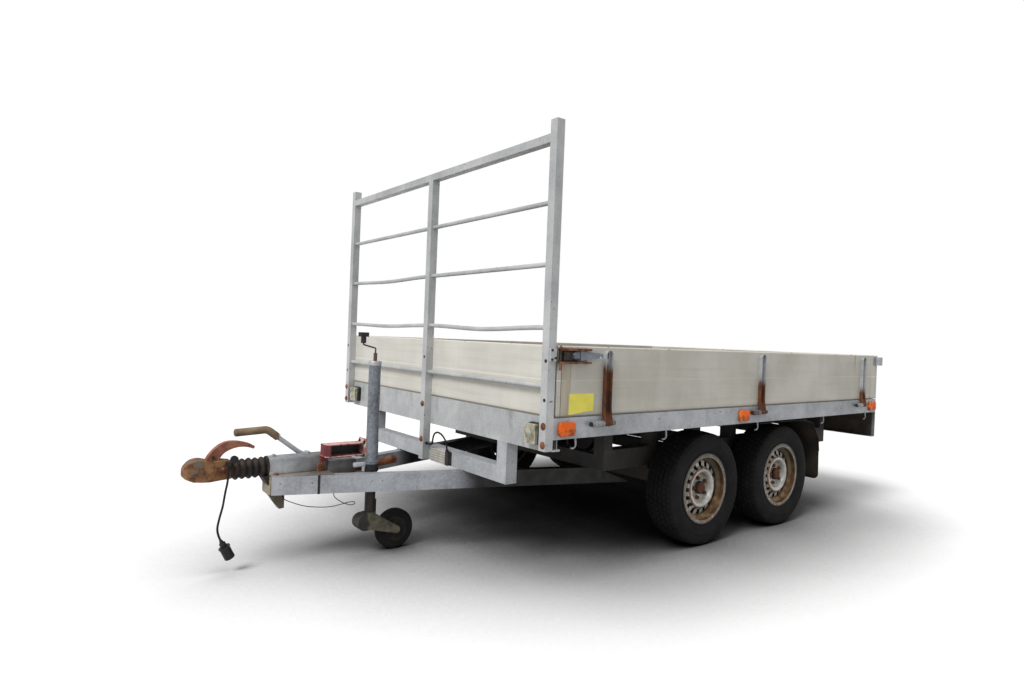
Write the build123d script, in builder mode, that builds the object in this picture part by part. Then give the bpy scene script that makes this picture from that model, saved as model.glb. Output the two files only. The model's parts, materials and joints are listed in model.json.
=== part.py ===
"""Twin-axle drop-side flatbed trailer with a ladder rack, standing on its wheels and its jockey wheel."""

from build123d import *
from math import atan2, degrees, hypot, pi, radians, tan
import os

os.makedirs("parts", exist_ok=True)

# Millimetres. +X forwards to the coupling, +Y to the trailer's left, +Z up, floor at z = 0.

# Bed
bed_front = 885           # front plane of the sill, the rails and the front board
bed_length = 2883
bed_half = 967            # outer face of the side rails
rail_bottom = 624
rail_height = 87
rail_thick = 40
sill_depth = 60           # front sill, along X
sill_drop = 54            # sill's underside below the rails' underside
floor_thick = 18
tube_wall = 4
light_bar_bottom = 460
light_bar_depth = 42

# Boards
board_height = 286
board_thick = 27
board_gap = 6             # between a moving board and what stands beside it
swing_gap = 5             # under a moving board

# Hinges of the boards
hinge_out = 18            # pin axis outside the bed's face
hinge_down = 31           # pin axis below the rails' top
pin_radius = 7
pin_play = 0.05
knuckle_radius = 12
strap_width = 40
strap_wall = 3
strap_depth = 18
strap_reach = 278         # strap's top above the rails' top

# Ladder rack
post_size = 40
post_bottom = 580
post_top = 1900
middle_post_bottom = 387
top_bar_height = 34
top_bar_top = 1845
rack_bar_radius = 10

# Chassis
leg_y = 635               # middle of the legs and of the chassis rails
leg_width = 70
leg_depth = 60
cross_bottom = 387
cross_height = 72
chassis_rail_height = 100

# Drawbar
vbeam_bottom = 300
vbeam_height = 80
vbeam_width = 50
nose_x = 1690             # front ends of the drawbar's beams
nose_half = 55            # their outer faces there
vbeam_end_x = 43
vbeam_end_half = 620
vbeam_taper = 180
nose_plate = 6

# Wheels
tandem_setback = 1482     # from the bed's front to midway between the axles
axle_spacing = 722
wheel_track = 1645
tyre_radius = 290
tyre_width = 175
bead_radius = 165
rim_flange_radius = 182.5
rim_width = 150
disc_offset = 30          # hub face outside the wheel's middle plane
drum_radius = 112
spindle_radius = 17
running_play = 0.05
arm_length = 130
axle_tube = 70

# Jockey wheel
jockey_x = 1255
jockey_beam_gap = 3       # between the jockey's tube and the drawbar's left beam
jockey_tube_radius = 27.5
jockey_tube_bottom = 340
jockey_tube_top = 885
stem_radius = 24
jockey_trail = 129
jockey_wheel_radius = 93.5
jockey_wheel_width = 45

# Overrun coupling
housing_length = 259
bellows_length = 156
coupling_length = 186     # from the bellows to the coupling's tip
ball_back = 72            # ball's middle behind the tip
ball_radius = 25
head_half = 42
head_height = 92
shaft_z = 418
shaft_radius = 24
shaft_play = 1

# Derived places
bed_rear = bed_front - bed_length
tandem_x = bed_front - tandem_setback
rail_top = rail_bottom + rail_height
rail_in = bed_half - rail_thick
board_bottom = rail_top + swing_gap
board_top = board_bottom + board_height
hinge_z = rail_top - hinge_down
hinge_y = bed_half + hinge_out
leg_out = leg_y + leg_width / 2
leg_in = leg_y - leg_width / 2
chassis_rail_top = cross_bottom + chassis_rail_height
vbeam_top = vbeam_bottom + vbeam_height
housing_front = nose_x + nose_plate
housing_rear = housing_front - housing_length
bellows_front = housing_front + bellows_length
coupling_tip = bellows_front + coupling_length
ball_x = coupling_tip - ball_back
head_top = shaft_z + head_height * 0.59
head_bottom = head_top - head_height
hub_z = tyre_radius
wheel_y = wheel_track / 2
axle_places = {"front": tandem_x + axle_spacing / 2, "rear": tandem_x - axle_spacing / 2}
sides = {"left": 1, "right": -1}

MIN, MID, MAX = Align.MIN, Align.CENTER, Align.MAX


def save(piece, name):
    piece.part.label = name
    export_step(piece.part, f"parts/{name}.step")


def span_box(x, y, z, mode=Mode.ADD):
    """A box between two planes each way, given as (low, high) pairs."""
    with Locations((x[0], y[0], z[0])):
        Box(x[1] - x[0], y[1] - y[0], z[1] - z[0], align=(MIN, MIN, MIN), mode=mode)


def side_span(side, near, far):
    """The (low, high) pair along Y of what lies between near and far from the middle plane."""
    return (near, far) if side > 0 else (-far, -near)


# Bed frame ------------------------------------------------------------------------------------

with BuildPart() as side_rails:
    for side in sides.values():
        rail_y = side_span(side, rail_in, bed_half)
        span_box((bed_rear, bed_front), rail_y, (rail_bottom, rail_top))
        span_box((bed_rear, bed_front), (rail_y[0] + tube_wall, rail_y[1] - tube_wall),
                 (rail_bottom + tube_wall, rail_top - tube_wall), Mode.SUBTRACT)
save(side_rails, "side_rails")

sill_rear = bed_front - sill_depth
with BuildPart() as front_sill:
    span_box((sill_rear, bed_front), (-rail_in, rail_in), (rail_bottom - sill_drop, rail_top))
    span_box((sill_rear + tube_wall, bed_front - tube_wall), (-rail_in, rail_in),
             (rail_bottom - sill_drop + tube_wall, rail_top - tube_wall), Mode.SUBTRACT)
save(front_sill, "front_sill")

light_bar_front = bed_rear + light_bar_depth
with BuildPart() as light_bar:
    span_box((bed_rear, light_bar_front), (-rail_in, rail_in), (light_bar_bottom, rail_top))
    span_box((bed_rear, light_bar_front), (-bed_half, bed_half), (light_bar_bottom, rail_bottom))
    span_box((bed_rear + tube_wall, light_bar_front), (-bed_half, bed_half),
             (light_bar_bottom + tube_wall, rail_bottom - tube_wall), Mode.SUBTRACT)
save(light_bar, "light_bar")

with BuildPart() as floor:
    span_box((light_bar_front, sill_rear), (-rail_in, rail_in), (rail_top - floor_thick, rail_top))
save(floor, "floor")

# Chassis --------------------------------------------------------------------------------------

# Front faces of the legs, from the front: the first pair stands on the first cross tube,
# the second on the second, the others on the chassis rails.
leg_fronts = [bed_front, 282, -70, -431, -782, -1137, -1492, -1850]
cross_fronts = [bed_front, leg_fronts[1], leg_fronts[4], leg_fronts[7]]
joist_bottom = rail_bottom
joist_top = rail_top - floor_thick

with BuildPart() as joists:
    for front in leg_fronts[1:]:
        span_box((front - leg_depth, front), (-rail_in, rail_in), (joist_bottom, joist_top))
save(joists, "joists")

with BuildPart() as legs:
    for place, front in enumerate(leg_fronts):
        foot = cross_bottom + cross_height if place < 2 else chassis_rail_top
        head = rail_bottom - sill_drop if place == 0 else joist_bottom
        for side in sides.values():
            span_box((front - leg_depth, front), side_span(side, leg_in, leg_out), (foot, head))
save(legs, "legs")

chassis_rail_front = leg_fronts[1] - leg_depth
chassis_rail_rear = leg_fronts[-1] - leg_depth
with BuildPart() as chassis_rails:
    for side in sides.values():
        span_box((chassis_rail_rear, chassis_rail_front), side_span(side, leg_in, leg_out),
                 (cross_bottom, chassis_rail_top))
save(chassis_rails, "chassis_rails")

with BuildPart() as cross_tubes:
    for place, front in enumerate(cross_fronts):
        reach = leg_out if place < 2 else leg_in
        span_box((front - leg_depth, front), (-reach, reach),
                 (cross_bottom, cross_bottom + cross_height))
save(cross_tubes, "cross_tubes")

# Drawbar --------------------------------------------------------------------------------------

vbeam_slope = (vbeam_end_half - nose_half) / (nose_x - vbeam_end_x)
vbeam_lean = hypot(1, vbeam_slope)


def vbeam_outer(x):
    """Distance of a beam's outer face from the middle plane at a station."""
    return nose_half + (nose_x - x) * vbeam_slope


vbeam_inset = vbeam_width * vbeam_lean       # width across the beam, measured along Y
jockey_y = vbeam_outer(jockey_x) - (vbeam_width + jockey_beam_gap + jockey_tube_radius) * vbeam_lean
nose_round = 14
bracket_y = 30
bracket_width = 36
bracket_length = 66
bracket_drop = 64
bracket_wall = 5
bracket_front = nose_x + nose_plate
bracket_back = bracket_front - bracket_length
with BuildPart() as drawbar:
    for side in sides.values():
        with BuildSketch(Plane.XY.offset(vbeam_bottom)):
            with BuildLine():
                Polyline((nose_x, side * nose_half),
                         (vbeam_end_x, side * vbeam_end_half),
                         (vbeam_end_x, side * (vbeam_end_half - vbeam_inset)),
                         (nose_x, side * (nose_half - vbeam_inset)), close=True)
            make_face()
        extrude(amount=vbeam_height)
    with BuildSketch(Plane.XZ.offset(-leg_out * 1.5)):
        with BuildLine():
            Polyline((vbeam_end_x, vbeam_bottom + tube_wall), (vbeam_end_x + vbeam_taper, vbeam_top),
                     (vbeam_end_x, vbeam_top), close=True)
        make_face()
    extrude(amount=leg_out * 3, mode=Mode.SUBTRACT)
    for front in cross_fronts[:2]:
        middle = front - leg_depth / 2
        for side in sides.values():
            with Locations((middle, side * (vbeam_outer(middle) - vbeam_inset / 2), vbeam_top)):
                Box(leg_depth, vbeam_width * 0.6, cross_bottom - vbeam_top, align=(MID, MID, MIN))
    with BuildSketch(Plane.YZ.offset(nose_x)):
        with Locations((0, vbeam_bottom + vbeam_height / 2)):
            RectangleRounded(2 * nose_half, vbeam_height, nose_round)
    extrude(amount=nose_plate)
    # Bracket under the nose: its cheeks and front plate taper downwards
    with BuildSketch(Plane.XZ.offset(-bracket_y - bracket_width / 2)):
        with BuildLine():
            Polyline((bracket_front, vbeam_bottom), (bracket_back, vbeam_bottom),
                     (bracket_back, vbeam_bottom - bracket_drop * 0.97),
                     (bracket_back + bracket_length * 0.32, vbeam_bottom - bracket_drop), close=True)
        make_face()
    extrude(amount=bracket_width)
    span_box((bracket_back, bracket_front - 3 * bracket_wall),
             (bracket_y - bracket_width / 2 + bracket_wall, bracket_y + bracket_width / 2 - bracket_wall),
             (vbeam_bottom - bracket_drop * 0.72, vbeam_bottom - bracket_wall), Mode.SUBTRACT)
save(drawbar, "drawbar")

# Overrun coupling -----------------------------------------------------------------------------

housing_half = 42
base_plate = 6
base_overlap = 40
block_length = 132        # behind the housing, between the beams
block_half = 60
block_height = 70
block_top = 430
bellows_bore = shaft_radius + shaft_play
with BuildPart() as housing:
    with BuildSketch(Plane.XY.offset(vbeam_top)):
        with BuildLine():
            Polyline((nose_x, -nose_half), (nose_x, nose_half),
                     (housing_rear, vbeam_outer(housing_rear) - vbeam_inset + base_overlap),
                     (housing_rear, -vbeam_outer(housing_rear) + vbeam_inset - base_overlap),
                     close=True)
        make_face()
    extrude(amount=base_plate)
    with BuildSketch(Plane.YZ.offset(housing_rear)):
        with Locations((0, (vbeam_top + shaft_z + housing_half) / 2)):
            RectangleRounded(2 * housing_half, shaft_z + housing_half - vbeam_top, base_plate * 2)
    extrude(amount=housing_front - housing_rear)
    with BuildSketch(Plane.YZ.offset(housing_rear)):
        with Locations((0, shaft_z)):
            Circle(bellows_bore)
    extrude(amount=housing_front - housing_rear, mode=Mode.SUBTRACT)
    block_rear = housing_rear - block_length
    span_box((block_rear, housing_rear), (-block_half, block_half), (block_top - block_height, block_top))
save(housing, "overrun_housing")

# Damper behind the block
damper_radius = 19
damper_y = 40
damper_run = Vector(-215, 0, 22)
with BuildPart() as damper:
    damper_start = Vector(block_rear, damper_y, block_top - block_height / 2 - 9)
    with BuildLine() as damper_path:
        Polyline(damper_start, damper_start + Vector(-damper_radius, 0, 0),
                 damper_start + damper_run)
    with BuildSketch(Plane(damper_path.line @ 0, z_dir=damper_path.line % 0)):
        Circle(damper_radius)
    sweep(transition=Transition.RIGHT)
save(damper, "brake_damper")

bellows_ridges = 5
ridge_radius = 46
valley_radius = 35
bellows_gap = 0.3
skirt_half = 40
skirt_depth = 26
ridge_pitch = (bellows_length - 2 * bellows_gap) / (bellows_ridges + 0.5)
with BuildPart() as bellows:
    start = housing_front + bellows_gap
    with BuildSketch(Plane.XZ):
        with BuildLine():
            points = [(start, shaft_z + bellows_bore), (start, shaft_z + ridge_radius),
                      (start + ridge_pitch / 4, shaft_z + ridge_radius)]
            for ridge in range(bellows_ridges):
                low = start + (ridge + 0.5) * ridge_pitch
                points.append((low, shaft_z + valley_radius))
                points.append((low + 0.35 * ridge_pitch, shaft_z + ridge_radius - ridge % 2))
                points.append((low + 0.65 * ridge_pitch, shaft_z + ridge_radius - ridge % 2))
            points.append((start + (bellows_ridges + 0.5) * ridge_pitch, shaft_z + valley_radius))
            points.append((start + (bellows_ridges + 0.5) * ridge_pitch, shaft_z + bellows_bore))
            Polyline(*points, close=True)
        make_face()
    revolve(axis=Axis((0, 0, shaft_z), (1, 0, 0)))
    skirt_top = shaft_z - valley_radius
    skirt_bottom = vbeam_top - skirt_half
    with BuildSketch(Plane.XZ.offset(-skirt_half)):
        with BuildLine():
            Polyline((start, skirt_top), (start, skirt_bottom), (start + skirt_depth, vbeam_top),
                     (start + skirt_depth, skirt_top), close=True)
        make_face()
    extrude(amount=2 * skirt_half)
save(bellows, "bellows")

# The head's outline from above, then from the side, as shares of its length and height
socket_depth = 28
neck_radius = shaft_radius + 4


def head_at(along, up):
    return (bellows_front + along * coupling_length, head_bottom + up * head_height)


with BuildPart() as coupling_head:
    with BuildSketch(Plane.XY.offset(head_bottom)):
        with Locations((ball_x, 0)):
            Circle(head_half)
        with Locations((coupling_tip - 0.88 * head_half, 0)):
            Circle(0.88 * head_half)
        with Locations((bellows_front + neck_radius, 0)):
            Circle(neck_radius)
        make_hull()
        with Locations((bellows_front + neck_radius / 2, 0)):
            Rectangle(neck_radius, 2 * neck_radius)
    extrude(amount=head_height)
    with BuildSketch(Plane.XZ.offset(-head_half * 2)):
        with BuildLine():
            low = Polyline(head_at(0, 0.05), head_at(0.45, 0), head_at(0.78, 0.06), head_at(0.94, 0.2))
            tip = ThreePointArc(low @ 1, head_at(1.0, 0.4), head_at(0.925, 0.757))
            top = ThreePointArc(tip @ 1, head_at(0.8, 0.95), head_at(0.62, 1.0))
            Polyline(top @ 1, head_at(0.42, 0.9), head_at(0.16, 0.92), head_at(0, 0.87), low @ 0)
        make_face()
    extrude(amount=head_half * 4, mode=Mode.INTERSECT)
    with BuildSketch(Plane.XY.offset(head_bottom)):
        with Locations((ball_x, 0)):
            Circle(ball_radius)
    extrude(amount=socket_depth, mode=Mode.SUBTRACT)
    with Locations((ball_x, 0, head_bottom + socket_depth)):
        Sphere(ball_radius, mode=Mode.SUBTRACT)
    with BuildSketch(Plane.YZ.offset(housing_rear + housing_length / 4)):
        with Locations((0, shaft_z)):
            Circle(shaft_radius)
    extrude(amount=bellows_front - housing_rear - housing_length / 4)
save(coupling_head, "coupling_head")

# Handle's profile: back from the ball's middle and above the head's top, outer edge then inner
handle_width = 34
handle_outer = [(-15, -14), (-27, 11), (-52, 41), (-89, 64), (-142, 67), (-192, 54)]
handle_inner = [(-215, 41), (-209, 29), (-156, 42), (-112, 34), (-83, 16), (-62, -12), (-41, -24)]


def handle_at(place):
    return (ball_x + place[0], head_top + place[1])


with BuildPart() as coupling_handle:
    with BuildSketch(Plane.XZ.offset(-handle_width / 2)):
        with BuildLine():
            outer = Spline(*[handle_at(place) for place in handle_outer])
            inner = Spline(*[handle_at(place) for place in handle_inner[1:]])
            Polyline(outer @ 1, handle_at(handle_inner[0]), inner @ 0)
            Line(inner @ 1, outer @ 0)
        make_face()
    extrude(amount=handle_width)
    with BuildSketch(Plane.XY.offset(head_top - head_height)):
        with BuildLine():
            back = ball_x + handle_inner[0][0] - 5
            Polyline((ball_x, handle_width / 2), (ball_x - 100, handle_width / 2), (back, handle_width / 4),
                     (back, -handle_width / 4), (ball_x - 100, -handle_width / 2),
                     (ball_x, -handle_width / 2), close=True)
        make_face()
    extrude(amount=2 * head_height, mode=Mode.INTERSECT)
    add(coupling_head.part, mode=Mode.SUBTRACT)
save(coupling_handle, "coupling_handle")

# Brake lever: its tube's points back from the housing's front and above the shaft, then the grip's
lever_y = -(housing_half + 14)
lever_radius = 11
grip_radius = 17
pivot_radius = 24
pivot_out = lever_y - lever_radius - 2
lever_bend = 40
lever_points = [(-196, 22), (-152, 48), (-50, 126.2)]
grip_points = [(-62, 117), (-14, 153.8), (127, 147)]


def lever_at(place):
    return (housing_front + place[0], lever_y, shaft_z + place[1])


with BuildPart() as brake_lever:
    with BuildLine() as lever_path:
        FilletPolyline(*[lever_at(place) for place in lever_points], radius=lever_bend)
    with BuildSketch(Plane(lever_path.line @ 0, z_dir=lever_path.line % 0)):
        Circle(lever_radius)
    sweep()
    with BuildLine() as grip_path:
        FilletPolyline(*[lever_at(place) for place in grip_points], radius=lever_bend)
    with BuildSketch(Plane(grip_path.line @ 0, z_dir=grip_path.line % 0)):
        Circle(grip_radius)
    sweep()
    fillet(brake_lever.edges().filter_by(GeomType.CIRCLE).sort_by(Axis.X)[-1], grip_radius / 2)
    with BuildSketch(Plane.XZ.offset(-pivot_out)):
        with Locations(lever_at(lever_points[0])[::2]):
            Circle(pivot_radius)
    extrude(amount=pivot_out + housing_half)
save(brake_lever, "brake_lever")

# Axles and wheels -----------------------------------------------------------------------------

axle_tube_z = (cross_bottom - 17) - axle_tube / 2
arm_in = leg_out + 10
arm_thick = 25
arm_height = 56
backplate_out = 741
backplate_thick = 6
drum_in = 745
hub_face = wheel_y + disc_offset
for name, hub_x in axle_places.items():
    tube_x = hub_x + arm_length
    with BuildPart() as axle:
        span_box((tube_x - axle_tube / 2, tube_x + axle_tube / 2), (-arm_in, arm_in),
                 (axle_tube_z - axle_tube / 2, axle_tube_z + axle_tube / 2))
        for side in sides.values():
            span_box((tube_x - 60, tube_x + 60), side_span(side, leg_in, leg_out),
                     (axle_tube_z + axle_tube / 2, cross_bottom))
            lean = atan2(axle_tube_z - hub_z, arm_length)
            with BuildSketch(Plane.XZ.offset(-side * arm_in)):
                with Locations(Location(((hub_x + tube_x) / 2, (hub_z + axle_tube_z) / 2),
                                        degrees(lean))):
                    SlotCenterToCenter(hypot(arm_length, axle_tube_z - hub_z), arm_height)
            extrude(amount=-side * arm_thick)
            with BuildSketch(Plane.XZ.offset(-side * (arm_in + arm_thick))):
                with Locations((hub_x, hub_z)):
                    Circle(spindle_radius + 12)
            extrude(amount=-side * (backplate_out - arm_in - arm_thick))
            with BuildSketch(Plane.XZ.offset(-side * (backplate_out - backplate_thick))):
                with Locations((hub_x, hub_z)):
                    Circle(drum_radius + 4)
            extrude(amount=-side * backplate_thick)
            with BuildSketch(Plane.XZ.offset(-side * backplate_out)):
                with Locations((hub_x, hub_z)):
                    Circle(spindle_radius)
            extrude(amount=-side * (hub_face - backplate_out - 10))
    save(axle, f"{name}_axle")

half_tread = tyre_width / 2 - 16
tyre_wall = 11
shoulder_out = 8
shoulder_drop = 12
bead_grip = 16
bulge_radius = (rim_flange_radius + tyre_radius) / 2
rim_gap = 0.3
rim_thick = 5
well_radius = 146
flange_in = rim_width / 2 - 12
hub_bore = 33
boss_reach = 16
slot_count = 16
slot_circle = 124
# Wheel disc's section: distance outside its hub face and radius, over its outer face and back
disc_profile = [(0, hub_bore + 0.5), (5, hub_bore + 0.5), (5, 70), (10, 75), (22, 81), (27, 87), (28, 94),
                (25, 101), (18, 108), (9, 113), (0, well_radius - rim_thick + 1),
                (-6, well_radius - rim_thick + 1), (4, 110), (13, 104), (20, 98), (22.5, 92), (21, 88),
                (17, 84), (5, 79), (0, 74)]
for axle_name, hub_x in axle_places.items():
    for side_name, side in sides.items():
        where = f"{axle_name}_{side_name}"
        # Each profile is drawn with the distance outboard of the wheel's middle plane and the radius.
        def at(out, radius):
            return (side * (wheel_y + out), hub_z + radius)

        spin_axis = Axis((hub_x, 0, hub_z), (0, 1, 0))
        middle = Plane((hub_x, 0, 0), x_dir=(0, 1, 0), z_dir=(1, 0, 0))

        with BuildPart() as tyre:
            with BuildSketch(middle):
                with BuildLine():
                    bead = rim_width / 2 - rim_thick
                    wall = tyre_width / 2
                    inner = wall - tyre_wall
                    edge = half_tread + shoulder_out
                    edge_radius = tyre_radius - shoulder_drop
                    inner_radius = edge_radius - shoulder_out
                    flange = rim_flange_radius + 2
                    seat = bead_radius + rim_gap
                    out_wall = ThreePointArc(at(bead, flange), at(wall, bulge_radius), at(edge, edge_radius))
                    crown = ThreePointArc(out_wall @ 1, at(0, tyre_radius), at(-edge, edge_radius))
                    in_wall = ThreePointArc(crown @ 1, at(-wall, bulge_radius), at(-bead, flange))
                    foot = Polyline(in_wall @ 1, at(-bead, seat), at(-bead + bead_grip, seat))
                    lining = ThreePointArc(foot @ 1, at(-inner, bulge_radius),
                                           at(-half_tread, inner_radius))
                    roof = ThreePointArc(lining @ 1, at(0, tyre_radius - tyre_wall - 2),
                                         at(half_tread, inner_radius))
                    other = ThreePointArc(roof @ 1, at(inner, bulge_radius), at(bead - bead_grip, seat))
                    Polyline(other @ 1, at(bead, seat), out_wall @ 0)
                make_face()
            revolve(axis=spin_axis)
        save(tyre, f"{where}_tyre")

        with BuildPart() as rim:
            half = rim_width / 2
            with BuildSketch(middle):
                with BuildLine():
                    Polyline(at(half, rim_flange_radius), at(half - 4.7, rim_flange_radius),
                             at(half - 4.7, bead_radius), at(half - 24, bead_radius),
                             at(half - 36, well_radius), at(-half + 36, well_radius),
                             at(-half + 24, bead_radius), at(-half + 4.7, bead_radius),
                             at(-half + 4.7, rim_flange_radius), at(-half, rim_flange_radius),
                             at(-half, bead_radius - rim_thick), at(-half + 22, bead_radius - rim_thick),
                             at(-half + 34, well_radius - rim_thick),
                             at(half - 34, well_radius - rim_thick),
                             at(half - 22, bead_radius - rim_thick),
                             at(half, bead_radius - rim_thick), close=True)
                make_face()
                with BuildLine():
                    Polyline(*[at(disc_offset + out, radius) for out, radius in disc_profile], close=True)
                make_face()
            revolve(axis=spin_axis)
            slots = Plane((hub_x, side * (wheel_y - 10), hub_z), x_dir=(1, 0, 0), z_dir=(0, side, 0))
            with BuildSketch(slots):
                with PolarLocations(slot_circle, slot_count):
                    RectangleRounded(21, 19, 4)
            extrude(amount=60, mode=Mode.SUBTRACT)
        save(rim, f"{where}_rim")

        with BuildPart() as hub:
            with BuildSketch(middle):
                with BuildLine():
                    Polyline(at(drum_in - wheel_y, spindle_radius + running_play),
                             at(drum_in - wheel_y, drum_radius),
                             at(disc_offset - 30, drum_radius), at(disc_offset - 22, 74),
                             at(disc_offset, 74), at(disc_offset, hub_bore),
                             at(disc_offset + boss_reach, hub_bore),
                             at(disc_offset + boss_reach + 4, hub_bore - 8),
                             at(disc_offset + boss_reach + 4, 0), at(disc_offset - 9, 0),
                             at(disc_offset - 9, spindle_radius + running_play), close=True)
                make_face()
            revolve(axis=spin_axis)
        save(hub, f"{where}_hub")

# Mudguards ------------------------------------------------------------------------------------

guard_thick = 3
guard_out = 935
flap_corner = 22
# X back from the tandem's middle and height of the guard's folds, from its front lip
guard_folds = [(-40, 538), (-105, 603), (-655, 603), (-800, 528), (-866, 446), (-876, 212)]
with BuildPart() as mudguards:
    for side in sides.values():
        with BuildSketch(Plane.XZ.offset(-side * leg_out)):
            with BuildLine():
                Polyline(*[(tandem_x + x, z) for x, z in guard_folds])
                offset(amount=guard_thick, side=Side.LEFT)
            make_face()
        extrude(amount=-side * (guard_out - leg_out))
    corners = mudguards.edges().filter_by(
        lambda edge: edge.length < 2 * guard_thick
        and edge.center().Z < guard_folds[-1][1] + guard_thick
        and abs(edge.center().Y) > guard_out - 1)
    fillet(corners, flap_corner)
save(mudguards, "mudguards")

# Boards ---------------------------------------------------------------------------------------

board_round = 6
seam_up = 144             # seam between the boards' two profiles, above their lower edge
seam_width = 3
seam_depth = 2
end_profile = 57          # width of the side boards' end profiles
end_proud = 2

front_board_half = bed_half - board_thick - board_gap
with BuildPart() as front_board:
    span_box((bed_front - board_thick, bed_front), (-front_board_half, front_board_half),
             (rail_top, board_top))
    fillet(front_board.edges().filter_by(Axis.Y).group_by(Axis.Z)[-1], board_round)
save(front_board, "front_board")

board_rear = bed_rear + board_thick + board_gap
board_front = bed_front - 9
for name, side in sides.items():
    with BuildPart() as side_board:
        span_box((board_rear, board_front), side_span(side, bed_half - board_thick, bed_half),
                 (board_bottom, board_top))
        fillet(side_board.edges().filter_by(Axis.X).group_by(Axis.Z)[-1], board_round)
        span_box((board_rear, board_front), side_span(side, bed_half - seam_depth, bed_half),
                 (board_bottom + seam_up, board_bottom + seam_up + seam_width), Mode.SUBTRACT)
        for end in (board_rear, board_front - end_profile):
            span_box((end, end + end_profile), side_span(side, bed_half - seam_depth, bed_half + end_proud),
                     (board_bottom, board_top - board_round))
    save(side_board, f"{name}_board")

with BuildPart() as tailboard:
    span_box((bed_rear, bed_rear + board_thick), (-bed_half, bed_half), (board_bottom, board_top))
    fillet(tailboard.edges().filter_by(Axis.Y).group_by(Axis.Z)[-1], board_round)
    span_box((bed_rear, bed_rear + seam_depth), (-bed_half, bed_half),
             (board_bottom + seam_up, board_bottom + seam_up + seam_width), Mode.SUBTRACT)
save(tailboard, "tailboard")

# A strap and a hinge pin are drawn once beside the origin, with their board's outer face at y = 0
strap_top = rail_top + strap_reach
strap_low = board_bottom + 34
strap_cap = strap_top - strap_width / 2
with BuildPart() as strap_form:
    with BuildSketch(Plane.XZ):
        with Locations((0, (strap_low + strap_cap) / 2)):
            Rectangle(strap_width, strap_cap - strap_low)
        with Locations((0, strap_cap)):
            Circle(strap_width / 2)
    extrude(amount=-strap_depth)
    with BuildSketch(Plane.XZ.offset(-strap_wall)):
        with Locations((0, (strap_low + strap_cap) / 2)):
            Rectangle(strap_width - 2 * strap_wall, strap_cap - strap_low)
        with Locations((0, strap_cap)):
            Circle(strap_width / 2 - strap_wall)
    extrude(amount=-strap_depth, mode=Mode.SUBTRACT)
    with BuildSketch(Plane.XZ):
        with Locations((0, strap_cap - 4)):
            SlotOverall(strap_width * 0.75, strap_wall * 3, rotation=90)
        with Locations((0, strap_low + 8)):
            Circle(strap_wall)
    extrude(amount=-strap_depth, mode=Mode.SUBTRACT)
    with BuildSketch(Plane.YZ.offset(-strap_width / 2)):
        with BuildLine():
            Polyline((0, board_bottom), (0, strap_low), (strap_wall, strap_low),
                     (strap_wall * 1.5, strap_low - 16), (hinge_out + 4, hinge_z + 8),
                     (hinge_out, hinge_z), close=True)
        make_face()
        with Locations((hinge_out, hinge_z)):
            Circle(knuckle_radius)
    extrude(amount=strap_width)
    for edge in (-1, 1):
        with BuildSketch(Plane.YZ.offset(edge * (strap_width / 2 - strap_wall / 2) - strap_wall / 2)):
            with BuildLine():
                Polyline((0, board_bottom), (0, strap_low), (strap_depth, strap_low),
                         (strap_depth + 2, strap_low - 20),
                         (hinge_out + knuckle_radius, hinge_z), (hinge_out, hinge_z), close=True)
            make_face()
        extrude(amount=strap_wall)
    with BuildSketch(Plane.YZ.offset(-strap_width / 2)):
        with Locations((hinge_out, hinge_z)):
            Circle(pin_radius + pin_play)
    extrude(amount=strap_width, mode=Mode.SUBTRACT)

lug_gap = 5
lug_length = 63
lug_radius = 12.5
pin_head_radius = 11
pin_head = 6
with BuildPart() as pin_form:
    lug_start = strap_width / 2 + lug_gap
    pin_start = -strap_width / 2 - lug_gap - pin_head
    pin_end = lug_start + lug_length
    span_box((lug_start, pin_end), (0, hinge_out), (hinge_z - lug_radius * 0.7, hinge_z + lug_radius * 0.7))
    for start, end, radius in ((lug_start, pin_end, lug_radius), (pin_start, pin_end, pin_radius),
                               (pin_start, pin_start + pin_head, pin_head_radius),
                               (pin_end, pin_end + pin_head, pin_head_radius)):
        with BuildSketch(Plane.YZ.offset(start)):
            with Locations((hinge_out, hinge_z)):
                Circle(radius)
        extrude(amount=end - start)

side_strap_places = [594, -592, -1779]      # middles of the side boards' straps along X
tail_strap_places = [-560, 560]             # middles of the tailboard's straps along Y
mirrored_strap = mirror(strap_form.part, about=Plane.XZ)
mirrored_pin = mirror(pin_form.part, about=Plane.XZ)
strap_sides = {"left": strap_form.part, "right": mirrored_strap}
pin_sides = {"left": pin_form.part, "right": mirrored_pin}
for name, side in sides.items():
    with BuildPart() as straps:
        with Locations(*[(place, side * bed_half, 0) for place in side_strap_places]):
            add(strap_sides[name])
    save(straps, f"{name}_straps")

tail_spots = [Location((bed_rear, place, 0), (0, 0, 90)) for place in tail_strap_places]
with BuildPart() as tail_straps:
    with Locations(*tail_spots):
        add(strap_form.part)
save(tail_straps, "tail_straps")

with BuildPart() as hinge_pins:
    for name, side in sides.items():
        with Locations(*[(place, side * bed_half, 0) for place in side_strap_places]):
            add(pin_sides[name])
    with Locations(*tail_spots):
        add(pin_form.part)
save(hinge_pins, "hinge_pins")

# Catches at the tailboard's ends, a latch with its lever at the front of each side board
catch_low = board_bottom + 220
catch_high = board_top - 12
catch_out = 25
catch_tail = 32
with BuildPart() as catches:
    for side in sides.values():
        with BuildSketch(Plane.XY.offset(catch_low)):
            with BuildLine():
                corner = (bed_rear - catch_tail, side * (bed_half + catch_out))
                Polyline((bed_rear - catch_tail, side * (bed_half - 30)), (bed_rear, side * (bed_half - 30)),
                         (bed_rear, side * bed_half), (bed_rear + 24, side * bed_half),
                         (bed_rear + 24, corner[1]), (corner[0] + 12, corner[1]),
                         (corner[0], corner[1] - side * 12), close=True)
            make_face()
        extrude(amount=catch_high - catch_low)
save(catches, "tailboard_catches")

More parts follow.
